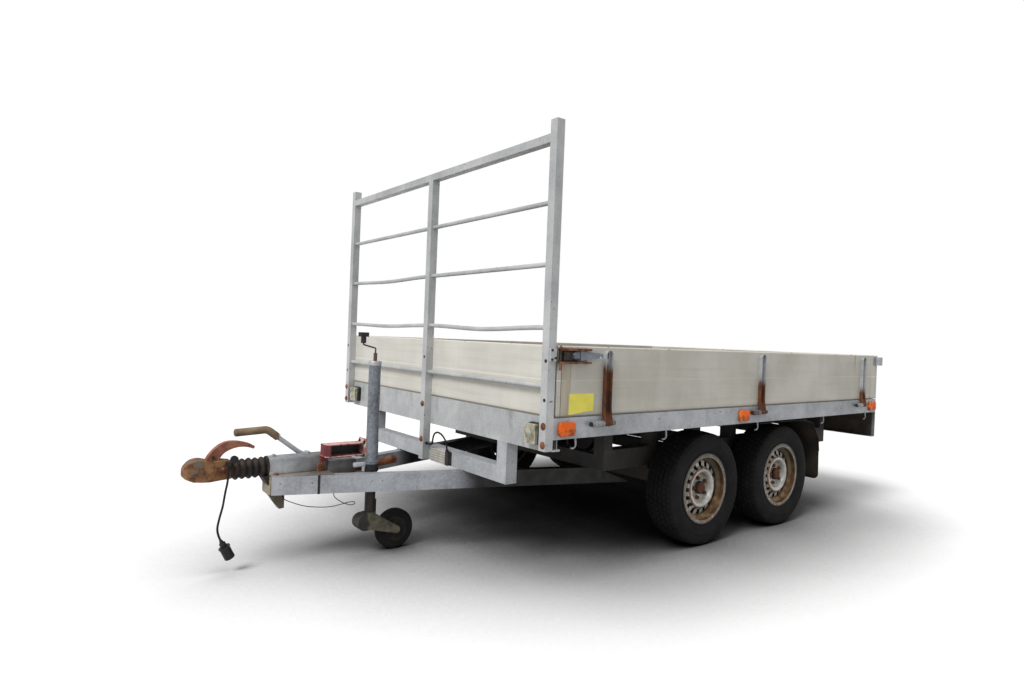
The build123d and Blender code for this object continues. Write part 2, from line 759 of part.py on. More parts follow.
latch_top = board_top - 10
latch_low = latch_top - 62
latch_bar = 9
latch_depth = 20
latch_front = board_front + 2
latch_rear = latch_front - 172
lever_wide = latch_front - 107
lever_end = latch_front - 240
plate_rear = board_rear + end_profile / 2
for name, side in sides.items():
    with BuildPart() as latch:
        latch_face = bed_half + end_proud
        for low in (latch_low, latch_top - latch_bar):
            span_box((latch_rear, latch_front), side_span(side, latch_face, latch_face + latch_depth),
                     (low, low + latch_bar))
        span_box((latch_rear + 14, board_front - end_profile),
                 side_span(side, bed_half, latch_face + strap_wall), (latch_low, latch_top))
        span_box((board_front - end_profile, latch_front - 6),
                 side_span(side, latch_face, latch_face + strap_wall), (latch_low, latch_top))
        span_box((lever_wide - 4, latch_front - 24), side_span(side, latch_face, latch_face + latch_depth / 2),
                 (latch_low + 14, latch_top - 14))
        with BuildSketch(Plane.XY.offset(latch_low - 26)):
            with Locations((latch_front - 6, side * (latch_face + latch_depth / 2))):
                Circle(latch_bar / 2)
        extrude(amount=latch_top - latch_low + 36)
        with BuildSketch(Plane.XZ.offset(-side * (latch_face + latch_depth * 0.35))):
            with BuildLine():
                Polyline((lever_wide + 30, latch_low + 15), (lever_wide, latch_low + 12),
                         (lever_end, latch_low + 26), (lever_end, latch_low + 43),
                         (lever_wide, latch_top - 9), (lever_wide + 30, latch_top - 12), close=True)
            make_face()
        extrude(amount=-side * latch_depth / 2)
        span_box((board_rear, plate_rear), side_span(side, latch_face, latch_face + strap_wall),
                 (catch_low, catch_high))
    save(latch, f"{name}_latch")

# Ladder rack ----------------------------------------------------------------------------------

post_front = bed_front + post_size
post_in = bed_half - post_size
keeper_thick = 9
with BuildPart() as rack_frame:
    for side in sides.values():
        span_box((bed_front, post_front), side_span(side, post_in, bed_half), (post_bottom, post_top))
        span_box((post_front - 35, post_front - 4), side_span(side, bed_half, bed_half + keeper_thick),
                 (latch_low + 9, latch_top))
        span_box((bed_front - post_size, bed_front), side_span(side, post_in, bed_half),
                 (post_bottom - 3, post_bottom + 4))
    span_box((bed_front, post_front), (-post_size / 2, post_size / 2),
             (middle_post_bottom, top_bar_top - top_bar_height))
    span_box((bed_front, post_front), (-post_in, post_in), (top_bar_top - top_bar_height, top_bar_top))
save(rack_frame, "rack_frame")

# Height of each bar and how far its left and its right half sag
rack_bar_sags = [(836, 0, 0), (1072, 12, 8), (1325, 0, 8), (1573, 0, 0)]
with BuildPart() as rack_bars:
    bar_x = bed_front + post_size / 2
    for height, *sags in rack_bar_sags:
        for side, sag in zip(sides.values(), sags):
            near = side * post_size / 2
            far = side * post_in
            with BuildLine() as bar_path:
                if sag:
                    Spline((bar_x, near, height), (bar_x, (near + far) / 2, height - sag), (bar_x, far, height),
                           tangents=[(0, side, 0), (0, side, 0)])
                else:
                    Line((bar_x, near, height), (bar_x, far, height))
            with BuildSketch(Plane((bar_x, near, height), x_dir=(1, 0, 0), z_dir=(0, side, 0))):
                Circle(rack_bar_radius)
            sweep()
save(rack_bars, "rack_bars")

# Lamps, junction box and lashing hooks ---------------------------------------------------------

lamp_length = 100
lamp_height = 59
lamp_depth = 16
lamp_round = 8
lamp_drop = 16            # from the rails' top to the side lamps
side_lamp_places = [811, -446, -1936]
with BuildPart() as side_lamps:
    for side in sides.values():
        with BuildSketch(Plane.XZ.offset(-side * bed_half)):
            with Locations(*[(place, rail_top - lamp_drop - lamp_height / 2) for place in side_lamp_places]):
                RectangleRounded(lamp_length, lamp_height, lamp_round)
        extrude(amount=-side * lamp_depth)
save(side_lamps, "side_lamps")

front_lamp_y = 865
front_lamp_width = 72
front_lamp_depth = 38
with BuildPart() as front_lamps:
    with BuildSketch(Plane.YZ.offset(bed_front)):
        with Locations(*[(side * front_lamp_y, rail_bottom + lamp_drop) for side in sides.values()]):
            RectangleRounded(front_lamp_width, front_lamp_width + lamp_round, lamp_round)
    extrude(amount=front_lamp_depth)
save(front_lamps, "front_lamps")

rear_lamp_y = 750
rear_lamp_width = 210
rear_lamp_height = 92
rear_lamp_depth = 26
with BuildPart() as rear_lamps:
    with BuildSketch(Plane.YZ.offset(bed_rear)):
        with Locations(*[(side * rear_lamp_y, light_bar_bottom + rear_lamp_height)
                         for side in sides.values()]):
            RectangleRounded(rear_lamp_width, rear_lamp_height, lamp_round)
    extrude(amount=-rear_lamp_depth)
save(rear_lamps, "rear_lamps")

box_depth = 22
box_y = 150
box_width = 166
box_height = 66
with BuildPart() as junction_box:
    with BuildSketch(Plane.YZ.offset(bed_front)):
        with Locations((box_y, cross_bottom + cross_height / 2)):
            RectangleRounded(box_width, box_height, lamp_round / 2)
    extrude(amount=box_depth)
save(junction_box, "junction_box")

hook_y = 937
hook_radius = 4
hook_drop = 46
hook_places = [734, 148, -627, -1352, -1917]
with BuildPart() as hooks:
    for place in hook_places:
        for side in sides.values():
            with BuildLine() as hook_path:
                FilletPolyline((place, side * hook_y, rail_bottom),
                               (place - 5, side * hook_y, rail_bottom - hook_drop),
                               (place + 24, side * hook_y, rail_bottom - hook_drop), radius=16)
            with BuildSketch(Plane(hook_path.line @ 0, z_dir=(0, 0, -1))):
                Circle(hook_radius)
            sweep()
save(hooks, "lashing_hooks")

# Jockey wheel ---------------------------------------------------------------------------------

cap_thick = 6
with BuildPart() as jockey_tube:
    with BuildSketch(Plane.XY.offset(jockey_tube_bottom)):
        with Locations((jockey_x, jockey_y)):
            Circle(jockey_tube_radius)
            Circle(stem_radius + running_play, mode=Mode.SUBTRACT)
    extrude(amount=jockey_tube_top - jockey_tube_bottom)
    with BuildSketch(Plane.XY.offset(jockey_tube_top)):
        with Locations((jockey_x, jockey_y)):
            Circle(jockey_tube_radius)
    extrude(amount=cap_thick)
save(jockey_tube, "jockey_tube")

nut_radius = 8.5
nut_height = 39
crank_radius = 3.5
crank_rise = 22           # elbow above the nut
crank_reach = 62
knob_neck = 12
knob_length = 51
knob_height = 20
with BuildPart() as crank:
    nut_bottom = jockey_tube_top + cap_thick
    nut_top = nut_bottom + nut_height
    knob_low = nut_top + 2 * crank_rise
    with BuildSketch(Plane.XY.offset(nut_bottom)):
        with Locations((jockey_x, jockey_y)):
            Circle(nut_radius)
    extrude(amount=nut_height)
    with BuildLine() as crank_path:
        FilletPolyline((jockey_x, jockey_y, nut_top), (jockey_x, jockey_y, nut_top + crank_rise),
                       (jockey_x + crank_reach, jockey_y, nut_top + 1.7 * crank_rise),
                       (jockey_x + crank_reach, jockey_y, knob_low + crank_radius), radius=6)
    with BuildSketch(Plane.XY.offset(nut_top)):
        with Locations((jockey_x, jockey_y)):
            Circle(crank_radius)
    sweep()
    with BuildSketch(Plane.XY.offset(knob_low)):
        with Locations((jockey_x + crank_reach, jockey_y)):
            Circle(knob_neck)
    extrude(amount=2 * knob_neck + 6)
    with BuildSketch(Plane.XY.offset(knob_low + 2 * knob_neck + 6)):
        with Locations((jockey_x + crank_reach, jockey_y)):
            SlotOverall(knob_length, 2 * knob_neck)
    extrude(amount=knob_height)
save(crank, "jockey_crank")

clamp_low = 429
clamp_high = 526
clamp_half = 36
collar_radius = 33
clamp_bore = jockey_tube_radius + 0.3
with BuildPart() as clamp:
    with BuildSketch(Plane.XY.offset(clamp_low)):
        with Locations((jockey_x, jockey_y)):
            RectangleRounded(2 * clamp_half, 2 * clamp_half, clamp_half / 4)
    extrude(amount=clamp_high - clamp_low)
    with BuildSketch(Plane.XY.offset(vbeam_top)):
        with Locations((jockey_x, jockey_y)):
            Circle(collar_radius)
    extrude(amount=clamp_low - vbeam_top)
    with BuildSketch(Plane.XY.offset(vbeam_top)):
        with Locations((jockey_x, jockey_y)):
            Circle(clamp_bore)
    extrude(amount=clamp_high - vbeam_top, mode=Mode.SUBTRACT)
save(clamp, "jockey_clamp")

# Red bracket that carries the clamp: stands off the housing, hollow towards the left
arm_low = 449
arm_high = 524
arm_inner = housing_half + 6
arm_outer = 112
arm_front = housing_rear + 37
arm_corner = 25
arm_wall = 8
with BuildPart() as clamp_arm:
    with BuildSketch(Plane.XY.offset(arm_low)):
        with BuildLine():
            Polyline((jockey_x + clamp_half, arm_inner), (arm_front, arm_inner),
                     (arm_front, arm_outer - arm_corner))
            RadiusArc((arm_front, arm_outer - arm_corner), (arm_front - arm_corner, arm_outer), -arm_corner)
            Polyline((arm_front - arm_corner, arm_outer), (jockey_x + clamp_half, arm_outer),
                     (jockey_x + clamp_half, arm_inner))
        make_face()
    extrude(amount=arm_high - arm_low)
    span_box((jockey_x + clamp_half + arm_wall, arm_front - arm_corner), (arm_inner + arm_wall, arm_outer),
             (arm_low + 21, arm_high - 27), Mode.SUBTRACT)
    span_box((housing_rear + 1, arm_front), (housing_half, arm_inner + arm_wall / 2),
             (arm_low - 22, arm_low + 10))
save(clamp_arm, "clamp_arm")

crown_top = 190
crown_z = 150
crown_radius = 38
crown_ahead = 34
fork_gap = 4
fork_thick = 8
axle_pin_radius = 8
wheel_x = jockey_x - jockey_trail
key_low = 196
with BuildPart() as stem:
    with BuildSketch(Plane.XY.offset(crown_top)):
        with Locations((jockey_x, jockey_y)):
            Circle(stem_radius)
    extrude(amount=jockey_tube_top - 200 - crown_top)
    span_box((jockey_x - stem_radius - 6, jockey_x - stem_radius / 2), (jockey_y - 6, jockey_y + 6),
             (crown_top, crown_top + 56))
save(stem, "jockey_stem")

cheek_in = jockey_wheel_width / 2 + fork_gap
cheek_out = cheek_in + fork_thick
with BuildPart() as fork:
    with BuildSketch(Plane.XZ.offset(-jockey_y - cheek_out)):
        with Locations((jockey_x, crown_z)):
            Circle(crown_radius)
        with Locations((jockey_x + crown_ahead, crown_z - 3)):
            Circle(crown_radius - 2)
        make_hull()
        with Locations((wheel_x, jockey_wheel_radius)):
            Circle(jockey_wheel_radius + 6, mode=Mode.SUBTRACT)
    extrude(amount=2 * cheek_out)
    with BuildSketch(Plane.XY.offset(crown_z)):
        with Locations((jockey_x, jockey_y)):
            Circle(stem_radius + 6)
    extrude(amount=crown_top - crown_z)
    for side in sides.values():
        with BuildSketch(Plane.XZ.offset(-jockey_y - side * cheek_in)):
            with Locations((jockey_x, crown_z)):
                Circle(crown_radius)
            with Locations((wheel_x, jockey_wheel_radius)):
                Circle(2 * axle_pin_radius + 1)
            make_hull()
        extrude(amount=-side * fork_thick)
    with BuildSketch(Plane.XZ.offset(-jockey_y + cheek_in)):
        with Locations((wheel_x, jockey_wheel_radius)):
            Circle(axle_pin_radius)
    extrude(amount=-2 * cheek_in)
save(fork, "jockey_fork")

tread_round = 12
with BuildPart() as jockey_wheel:
    with BuildSketch(Plane.XZ.offset(-jockey_y + jockey_wheel_width / 2)):
        with Locations((wheel_x, jockey_wheel_radius)):
            Circle(jockey_wheel_radius)
            Circle(axle_pin_radius + running_play, mode=Mode.SUBTRACT)
    extrude(amount=-jockey_wheel_width)
    fillet(jockey_wheel.edges().filter_by(GeomType.CIRCLE).sort_by(SortBy.RADIUS)[-2:], tread_round)
save(jockey_wheel, "jockey_wheel")

# Cords: the plug cable hangs from its clip on the coupling's neck, the wire from the left beam ----

cable_radius = 4.5
cable_route = [(1866, 48, 442), (1866, 48, 388), (1878, 51, 332), (1884, 51, 278), (1897, 50, 228),
               (1906, 50, 172), (1889, 50, 138)]
wire_radius = 1.75
wire_route = [(1640, 52, 300), (1640, 52, 280), (1604, 58, 262), (1550, 70, 240), (1492, 88, 232),
              (1434, 100, 229), (1392, 104, 236), (1352, 104, 242), (1332, 117, 245), (1336, 140, 243),
              (1358, 150, 238), (1386, 138, 246), (1412, 125, 262), (1433, 117, 280), (1433, 117, 300)]


def cord_radii(route):
    """Radius of the arc at each inner point: as large as its two runs allow."""
    points = [Vector(*point) for point in route]
    radii = []
    for before, here, after in zip(points, points[1:], points[2:]):
        turn = (here - before).get_angle(after - here)
        shorter = min((here - before).length, (after - here).length)
        radii.append(0.45 * shorter / tan(radians(turn) / 2))
    return radii


def report_cord(name, path, piece, radius, route):
    length = sum(edge.length for edge in path.edges())
    print(name, round(length), "long; volume over section times length",
          round(piece.part.volume / (pi * radius ** 2 * length), 4),
          "radii", [round(value) for value in cord_radii(route)])


knob_radius = 16
knob_back = 20
with BuildPart() as cable_clip:
    clip_x, clip_y, clip_z = cable_route[0]
    span_box((clip_x - 8, clip_x + 8), (neck_radius, clip_y + 8), (clip_z, clip_z + 18))
    with BuildSketch(Plane.XZ.offset(-clip_y + 2)):
        with Locations((clip_x - knob_back, clip_z + 28)):
            Circle(knob_radius)
    extrude(amount=-12)
save(cable_clip, "cable_clip")

with BuildPart() as plug_cable:
    with BuildLine() as cable_path:
        FilletPolyline(*cable_route, radius=cord_radii(cable_route))
    with BuildSketch(Plane(cable_path.line @ 0, z_dir=cable_path.line % 0)):
        Circle(cable_radius)
    sweep()
report_cord("plug cable", cable_path, plug_cable, cable_radius, cable_route)
save(plug_cable, "plug_cable")

# The plug along its axis: start, end and radius of each section
plug_sections = [(0, 14, 9), (14, 34, 13), (34, 39, 24), (39, 90, 21)]
with BuildPart() as plug:
    plug_axis = cable_path.line % 1
    for start, end, radius in plug_sections:
        with BuildSketch(Plane(cable_path.line @ 1 + plug_axis * start, z_dir=plug_axis)):
            Circle(radius)
        extrude(amount=end - start)
save(plug, "plug")

with BuildPart() as wire:
    with BuildLine() as wire_path:
        FilletPolyline(*wire_route, radius=cord_radii(wire_route))
    with BuildSketch(Plane(wire_path.line @ 0, z_dir=wire_path.line % 0)):
        Circle(wire_radius)
    sweep()
report_cord("breakaway wire", wire_path, wire, wire_radius, wire_route)
save(wire, "breakaway_wire")

print("jockey tube at y", round(jockey_y, 2))
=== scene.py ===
import bpy
import bmesh
import json
import math
from mathutils import Matrix, Vector


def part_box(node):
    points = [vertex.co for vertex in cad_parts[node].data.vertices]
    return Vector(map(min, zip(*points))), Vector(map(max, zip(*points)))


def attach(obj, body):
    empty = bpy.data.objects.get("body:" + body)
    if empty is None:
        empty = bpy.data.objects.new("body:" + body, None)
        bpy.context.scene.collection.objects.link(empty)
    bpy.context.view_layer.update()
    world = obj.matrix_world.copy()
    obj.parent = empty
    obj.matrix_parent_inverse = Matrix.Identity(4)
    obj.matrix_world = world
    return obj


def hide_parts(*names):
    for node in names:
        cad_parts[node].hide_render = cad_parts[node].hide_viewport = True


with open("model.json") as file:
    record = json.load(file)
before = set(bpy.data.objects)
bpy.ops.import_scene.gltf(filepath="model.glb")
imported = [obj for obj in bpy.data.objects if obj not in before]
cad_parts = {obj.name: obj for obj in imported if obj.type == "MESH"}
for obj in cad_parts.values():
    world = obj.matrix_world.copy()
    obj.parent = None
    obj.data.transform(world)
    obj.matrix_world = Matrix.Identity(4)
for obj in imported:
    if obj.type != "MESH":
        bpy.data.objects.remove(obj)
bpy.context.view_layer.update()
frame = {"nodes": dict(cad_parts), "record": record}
nodes = frame["nodes"]

# places shared by several pieces, in metres
wheelPlaces = {"front": -0.236, "rear": -0.958}
wheelOut = 0.8225
wheelRadius = 0.290
bedFront = 0.885
bedRear = -1.998
bedHalf = 0.967
postFront = 0.925
sideNames = {"left": 1, "right": -1}


def paint(tone):
    # a screen colour, 0 to 255, as a shader colour; sockets and shader colours pass
    if isinstance(tone, bpy.types.NodeSocket) or len(tone) == 4:
        return tone
    shares = [v / 255 for v in tone]
    return (*[v / 12.92 if v <= 0.04045 else ((v + 0.055) / 1.055) ** 2.4 for v in shares], 1)


class Finish:
    # one material: a colour, tones laid over it where a mask is 1, and a bump

    def __init__(self, name, slot="galvanised_steel"):
        self.material = bpy.data.materials.new(name)
        self.material.use_nodes = True
        self.tree = self.material.node_tree
        self.tree.nodes.clear()
        self.shader = self.node("ShaderNodeBsdfPrincipled")
        self.output = self.node("ShaderNodeOutputMaterial").inputs["Surface"]
        self.link(self.shader.outputs["BSDF"], self.output)
        self.place = self.node("ShaderNodeTexCoord").outputs["Object"]

    def node(self, kind, **settings):
        made = self.tree.nodes.new(kind)
        for key, value in settings.items():
            setattr(made, key, value)
        return made

    def link(self, source, target):
        self.tree.links.new(source, target)

    def put(self, target, value):
        # a socket is linked, X, Y or Z is that coordinate, a plain value is set
        if isinstance(value, str):
            value = self.axis(value)
        if isinstance(value, bpy.types.NodeSocket):
            self.link(value, target)
        else:
            target.default_value = value

    def axis(self, name):
        parts = self.node("ShaderNodeSeparateXYZ")
        self.link(self.place, parts.inputs[0])
        return parts.outputs[name]

    def noise(self, scale, detail=3, rough=0.55, stretch=(1, 1, 1), shift=0):
        mapping = self.node("ShaderNodeMapping")
        mapping.inputs["Scale"].default_value = stretch
        mapping.inputs["Location"].default_value = (shift, shift * 0.7, shift * 1.3)
        self.link(self.place, mapping.inputs["Vector"])
        texture = self.node("ShaderNodeTexNoise")
        self.link(mapping.outputs[0], texture.inputs["Vector"])
        texture.inputs["Scale"].default_value = scale
        texture.inputs["Detail"].default_value = detail
        texture.inputs["Roughness"].default_value = rough
        return texture.outputs["Fac"]

    def cells(self, scale, output="Color"):
        texture = self.node("ShaderNodeTexVoronoi")
        self.link(self.place, texture.inputs["Vector"])
        texture.inputs["Scale"].default_value = scale
        return texture.outputs[output]

    def fade(self, value, low, high, start=0, end=1):
        # start below low, end above high, smooth between
        ramp = self.node("ShaderNodeMapRange", interpolation_type="SMOOTHSTEP")
        for target, given in zip(ramp.inputs, (value, low, high, start, end)):
            self.put(target, given)
        return ramp.outputs["Result"]

    def math(self, operation, *values):
        made = self.node("ShaderNodeMath", operation=operation)
        for target, value in zip(made.inputs, values):
            self.put(target, value)
        return made.outputs[0]

    def times(self, first, second):
        return self.math("MULTIPLY", first, second)

    def mix(self, factor, first, second):
        made = self.node("ShaderNodeMix", data_type="RGBA")
        self.put(made.inputs[0], factor)
        self.put(made.inputs[6], paint(first))
        self.put(made.inputs[7], paint(second))
        return made.outputs[2]

    def spots(self, scale, detail, low, high, rough=0.55, stretch=(1, 1, 1), shift=0):
        return self.fade(self.noise(scale, detail, rough, stretch, shift), low, high)

    def mottle(self, first, second, *spots, **more):
        # one tone with spots of another
        return self.mix(self.spots(*spots, **more), first, second)

    def lay(self, tone, mask, share=1):
        self.colour = self.mix(mask if share == 1 else self.times(mask, share), self.colour, tone)

    def band(self, value, low, high, soft=0.001):
        # 1 between two values
        rise = self.fade(value, low - soft, low + soft)
        return self.times(rise, self.fade(value, high - soft, high + soft, 1, 0))

    def ragged(self, axis, amount, *noise, **more):
        # a coordinate that wanders a little
        return self.math("ADD", axis, self.times(self.noise(*noise, **more), amount))

    def sideways(self, low, high, start=0, end=1):
        # a fade by the distance from the middle plane
        return self.fade(self.math("ABSOLUTE", "Y"), low, high, start, end)

    def distance(self, x, z):
        # distance from an axle's line
        along = self.math("SUBTRACT", "X", x)
        up = self.math("SUBTRACT", "Z", z)
        return self.math("SQRT", self.math("ADD", self.times(along, along), self.times(up, up)))

    def upward(self):
        # 1 on faces that look up
        parts = self.node("ShaderNodeSeparateXYZ")
        self.link(self.node("ShaderNodeNewGeometry").outputs["Normal"], parts.inputs[0])
        return self.fade(parts.outputs["Z"], 0.2, 0.9)

    def bump(self, height, depth, strength=0.5):
        made = self.node("ShaderNodeBump")
        made.inputs["Strength"].default_value = strength
        made.inputs["Distance"].default_value = depth
        self.put(made.inputs["Height"], self.noise(*height) if isinstance(height, tuple) else height)
        self.link(made.outputs[0], self.shader.inputs["Normal"])

    def set(self, **values):
        for key, value in dict(Base_Color=self.colour, **values).items():
            self.put(self.shader.inputs[key.replace("_", " ")], value)
        return self.material


rustTones = dict(dark=(62, 33, 18), mid=(108, 60, 31), bright=(156, 92, 50))
zincTones = dict(light=(196, 199, 203), mid=(178, 180, 184), dark=(147, 150, 153), grime=(92, 88, 78),
                 # the near-black tone under the trailer is painted shade together with road dirt
                 under=(28, 26, 23), pale=(194, 195, 195), paleDark=(166, 168, 169), deep=(104, 106, 109))


def rustColour(finish, scale=30):
    colour = finish.mottle(rustTones["dark"], rustTones["mid"], scale, 5, 0.35, 0.65, 0.65)
    return finish.mix(finish.spots(scale * 3, 4, 0.55, 0.75, 0.6, shift=4), colour, rustTones["bright"])


def zincColour(finish, light, dark, rust=0.1, grime=0.35):
    # spangle, cloudy patches, runs of grime, specks of rust
    colour = finish.mottle(dark, light, 5, 5, 0.3, 0.7, 0.6)
    bright = finish.times(finish.fade(finish.cells(110), 0.2, 0.9), 0.14)
    colour = finish.mix(bright, colour, (214, 218, 222))
    runs = finish.spots(16, 5, 0.52, 0.78, 0.7, (1, 1, 0.22), 2)
    colour = finish.mix(finish.times(runs, grime), colour, zincTones["grime"])
    specks = finish.spots(70, 4, 0.66 - 0.12 * rust, 0.74, 0.6, shift=7)
    if rust > 0.3:
        patch = finish.spots(7, 5, 0.64 - 0.3 * rust, 0.72 - 0.2 * rust, 0.7, shift=11)
        specks = finish.math("MAXIMUM", specks, patch)
    return finish.mix(specks, colour, rustColour(finish))


def zincSurface(finish, metal=0.25):
    finish.bump((260, 3, 0.6), 0.0006)
    return finish.set(Metallic=metal, Roughness=finish.fade(finish.noise(24, 3), 0.3, 0.7, 0.42, 0.64))


def galvanised(name, light, dark, rust, grime):
    finish = Finish(name)
    finish.colour = zincColour(finish, zincTones[light], zincTones[dark], rust, grime)
    return zincSurface(finish, 0.3)


def underbody(name):
    # the front of the underframe is clean zinc; what lies behind it is darkened to near black by painted
    # shade and road dirt
    finish = Finish(name)
    finish.colour = zincColour(finish, zincTones["mid"], zincTones["dark"], 0.2, 0.5)
    # painted shade and road dirt: a near-black mottle over all that lies behind the clean front
    dirtAndShade = finish.mottle(zincTones["under"], (58, 50, 40), 9, 5, 0.35, 0.7, 0.6)
    finish.lay(dirtAndShade, finish.fade("X", 0.70, 0.80, 1, 0), 0.93)
    finish.bump((120, 4, 0.6), 0.0012, 0.6)
    return finish.set(Metallic=0.1, Roughness=0.8)


def drawbarSteel(name):
    # zinc beams, a buff cast end and bracket, painted shade towards the bed
    finish = Finish(name)
    finish.colour = zincColour(finish, (170, 173, 178), (136, 139, 146), 0.2, 0.4)
    low = finish.fade("Z", 0.2985, 0.2995, 1, 0)
    buff = finish.mottle((176, 166, 142), (132, 122, 98), 20, 4, 0.35, 0.7)
    buff = finish.mix(finish.times(low, 0.85), buff, (62, 57, 45))
    finish.lay(buff, finish.math("MAXIMUM", finish.fade("X", 1.6893, 1.6901), low))
    # painted shade: the beams go near black where they run back beyond the cross-beam
    finish.lay(zincTones["under"], finish.fade("X", 0.80, 0.94, 1, 0), 0.98)
    return zincSurface(finish)


def strapSteel(name):
    # zinc at the top, rust below a line that falls towards the rear
    finish = Finish(name)
    finish.colour = zincColour(finish, zincTones["mid"], zincTones["dark"], 0.1, 0.3)
    line = finish.math("MULTIPLY_ADD", "X", 0.063, 0.885)
    wander = finish.times(finish.noise(26, 4, 0.6, (1, 1, 0.5)), 0.11)
    height = finish.math("ADD", finish.math("SUBTRACT", "Z", line), wander)
    rusty = finish.fade(height, 0.020, 0.085, 1, 0)
    rust = finish.mottle((62, 34, 18), (100, 57, 29), 22, 4, 0.35, 0.65, 0.6)
    worn = finish.times(finish.spots(12, 4, 0.62, 0.75, 0.6, shift=3), 0.4)
    finish.lay(finish.mix(worn, rust, (138, 90, 52)), rusty)
    finish.bump((170, 4, 0.7), 0.0009, 0.6)
    metal = finish.fade(rusty, 0, 1, 0.3, 0.05)
    return finish.set(Metallic=metal, Roughness=finish.fade(rusty, 0, 1, 0.5, 0.85))


def latchSteel(name):
    # rusty bars above and below, a black works between them, a grey lever behind
    finish = Finish(name)
    works = finish.fade(finish.cells(60, "Distance"), 0.25, 0.5)
    finish.colour = finish.mix(works, (22, 19, 17), (52, 42, 36))
    finish.lay((186, 188, 190), finish.spots(55, 2, 0.70, 0.74, 0.5, shift=5))
    case = finish.times(finish.band("X", 0.772, 0.806), finish.band("Z", 0.952, 0.9765))
    finish.lay((116, 124, 132), case, 0.8)
    lever = zincColour(finish, (128, 134, 142), (104, 110, 118), 0.05, 0.2)
    finish.lay(lever, finish.fade("X", 0.766, 0.768, 1, 0))
    bars = finish.math("MAXIMUM", finish.fade("Z", 0.9812, 0.9822), finish.fade("Z", 0.9382, 0.9392, 1, 0))
    rust = finish.mottle((78, 42, 26), (140, 92, 66), 34, 4, 0.4, 0.65)
    finish.lay(rust, finish.times(bars, finish.fade("X", 0, 0.1)))
    finish.bump((150, 4), 0.0008)
    return finish.set(Metallic=0.2, Roughness=0.62)


def boardSkin(name, light, dark):
    # anodised planks: pale, blotchy, lengthwise lines, runs of grime
    finish = Finish(name)
    finish.colour = finish.mottle(dark, light, 3.2, 5, 0.3, 0.72, 0.6)
    finish.lay((160, 155, 140), finish.spots(60, 3, 0.45, 0.75, 0.6, (0.03, 0.03, 1), 3), 0.22)
    finish.lay((216, 214, 206), finish.spots(9, 4, 0.5, 0.75, 0.6, (1, 1, 0.06), 6), 0.3)
    finish.lay((132, 122, 98), finish.spots(20, 5, 0.6, 0.8, 0.7, (1, 1, 0.08), 9), 0.4)
    finish.lay((104, 92, 70), finish.spots(90, 3, 0.7, 0.76, 0.6, shift=14), 0.7)
    # painted light on the seam between planks, lifting the shade of its groove
    finish.lay((226, 223, 212), finish.band("Z", 0.8590, 0.8640, 0.0006), 0.7)  # seam between planks
    side = finish.sideways(0.960, 0.964)
    strip = finish.times(finish.band("X", 0.8020, 0.8530, 0.0006), side)
    stain = finish.mottle((182, 172, 150), (158, 146, 122), 30, 4, 0.35, 0.7, 0.6, (1, 1, 0.1))
    finish.lay(stain, strip, 0.75)
    edge = finish.band("X", 0.8005, 0.8025, 0.0004)
    finish.lay((120, 110, 90), finish.times(edge, finish.times(side, 0.5)))
    finish.lay((62, 56, 46), finish.times(finish.band("X", 0.8530, 0.8560, 0.0004), side))
    drips = finish.band(finish.ragged("X", 0.02, 30, 3, stretch=(0.1, 1, 1)), -1.672, -1.662, 0.003)
    drips = finish.times(drips, finish.fade("Z", 0.84, 0.97))
    finish.lay((122, 92, 52), finish.times(drips, finish.times(side, 0.7)))
    finish.lay((128, 122, 106), finish.fade("Z", 0.716, 0.735, 1, 0), 0.3)
    finish.lay((70, 60, 48), finish.fade("Z", 0.7185, 0.7205, 1, 0), 0.7)
    top = finish.fade("Z", 0.9965, 0.999)
    rubbed = finish.times(finish.spots(26, 4, 0.6, 0.68, 0.7, shift=17), top)
    finish.lay((236, 230, 216), top, 0.5)
    finish.lay((110, 72, 48), rubbed)
    finish.bump(finish.math("ADD", finish.noise(220, 3), finish.times(finish.noise(2.2, 2), 9)), 0.0005)
    return finish.set(Metallic=0.15, Roughness=0.5)


def plainFinish(name, slot, base, other, scale, rough, shine=0.5, metal=0.0, depth=0.0005):
    finish = Finish(name, slot)
    finish.colour = finish.mottle(base, other, scale, 4, 0.35, 0.7, 0.6)
    finish.bump((160, 3), depth)
    return finish.set(Metallic=metal, Roughness=rough, Specular_IOR_Level=shine)


def rusted(name, light, dark):
    finish = Finish(name, "rusty_steel")
    finish.colour = finish.mottle(dark, light, 24, 5, 0.35, 0.65, 0.6)
    finish.lay((52, 30, 20), finish.spots(90, 4, 0.56, 0.72, 0.6, shift=5), 0.6)
    finish.bump((170, 5, 0.7), 0.0012, 0.7)
    return finish.set(Metallic=0.1, Roughness=0.84)


def headSteel(name):
    # rusty casting, rubbed bare on top of the ball's cup, dark at its foot
    finish = Finish(name)
    finish.colour = finish.mottle((84, 52, 30), (146, 98, 60), 26, 5, 0.35, 0.65, 0.6)
    finish.lay((50, 32, 22), finish.spots(80, 4, 0.55, 0.7, 0.6, shift=5), 0.6)
    cup = finish.times(finish.band("X", 1.965, 2.030, 0.006), finish.fade("Z", 0.405, 0.425))
    worn = finish.times(cup, finish.spots(30, 3, 0.50, 0.57, shift=8))
    finish.lay((176, 138, 92), finish.spots(14, 3, 0.5, 0.64, shift=12), 0.6)
    finish.lay((112, 106, 98), worn)
    finish.lay((48, 30, 20), finish.fade(finish.ragged("Z", 0.02, 30, 3), 0.382, 0.402, 1, 0), 0.75)
    finish.bump((150, 5, 0.7), 0.0012, 0.7)
    return finish.set(Metallic=finish.fade(worn, 0, 1, 0.1, 0.5), Roughness=0.72)


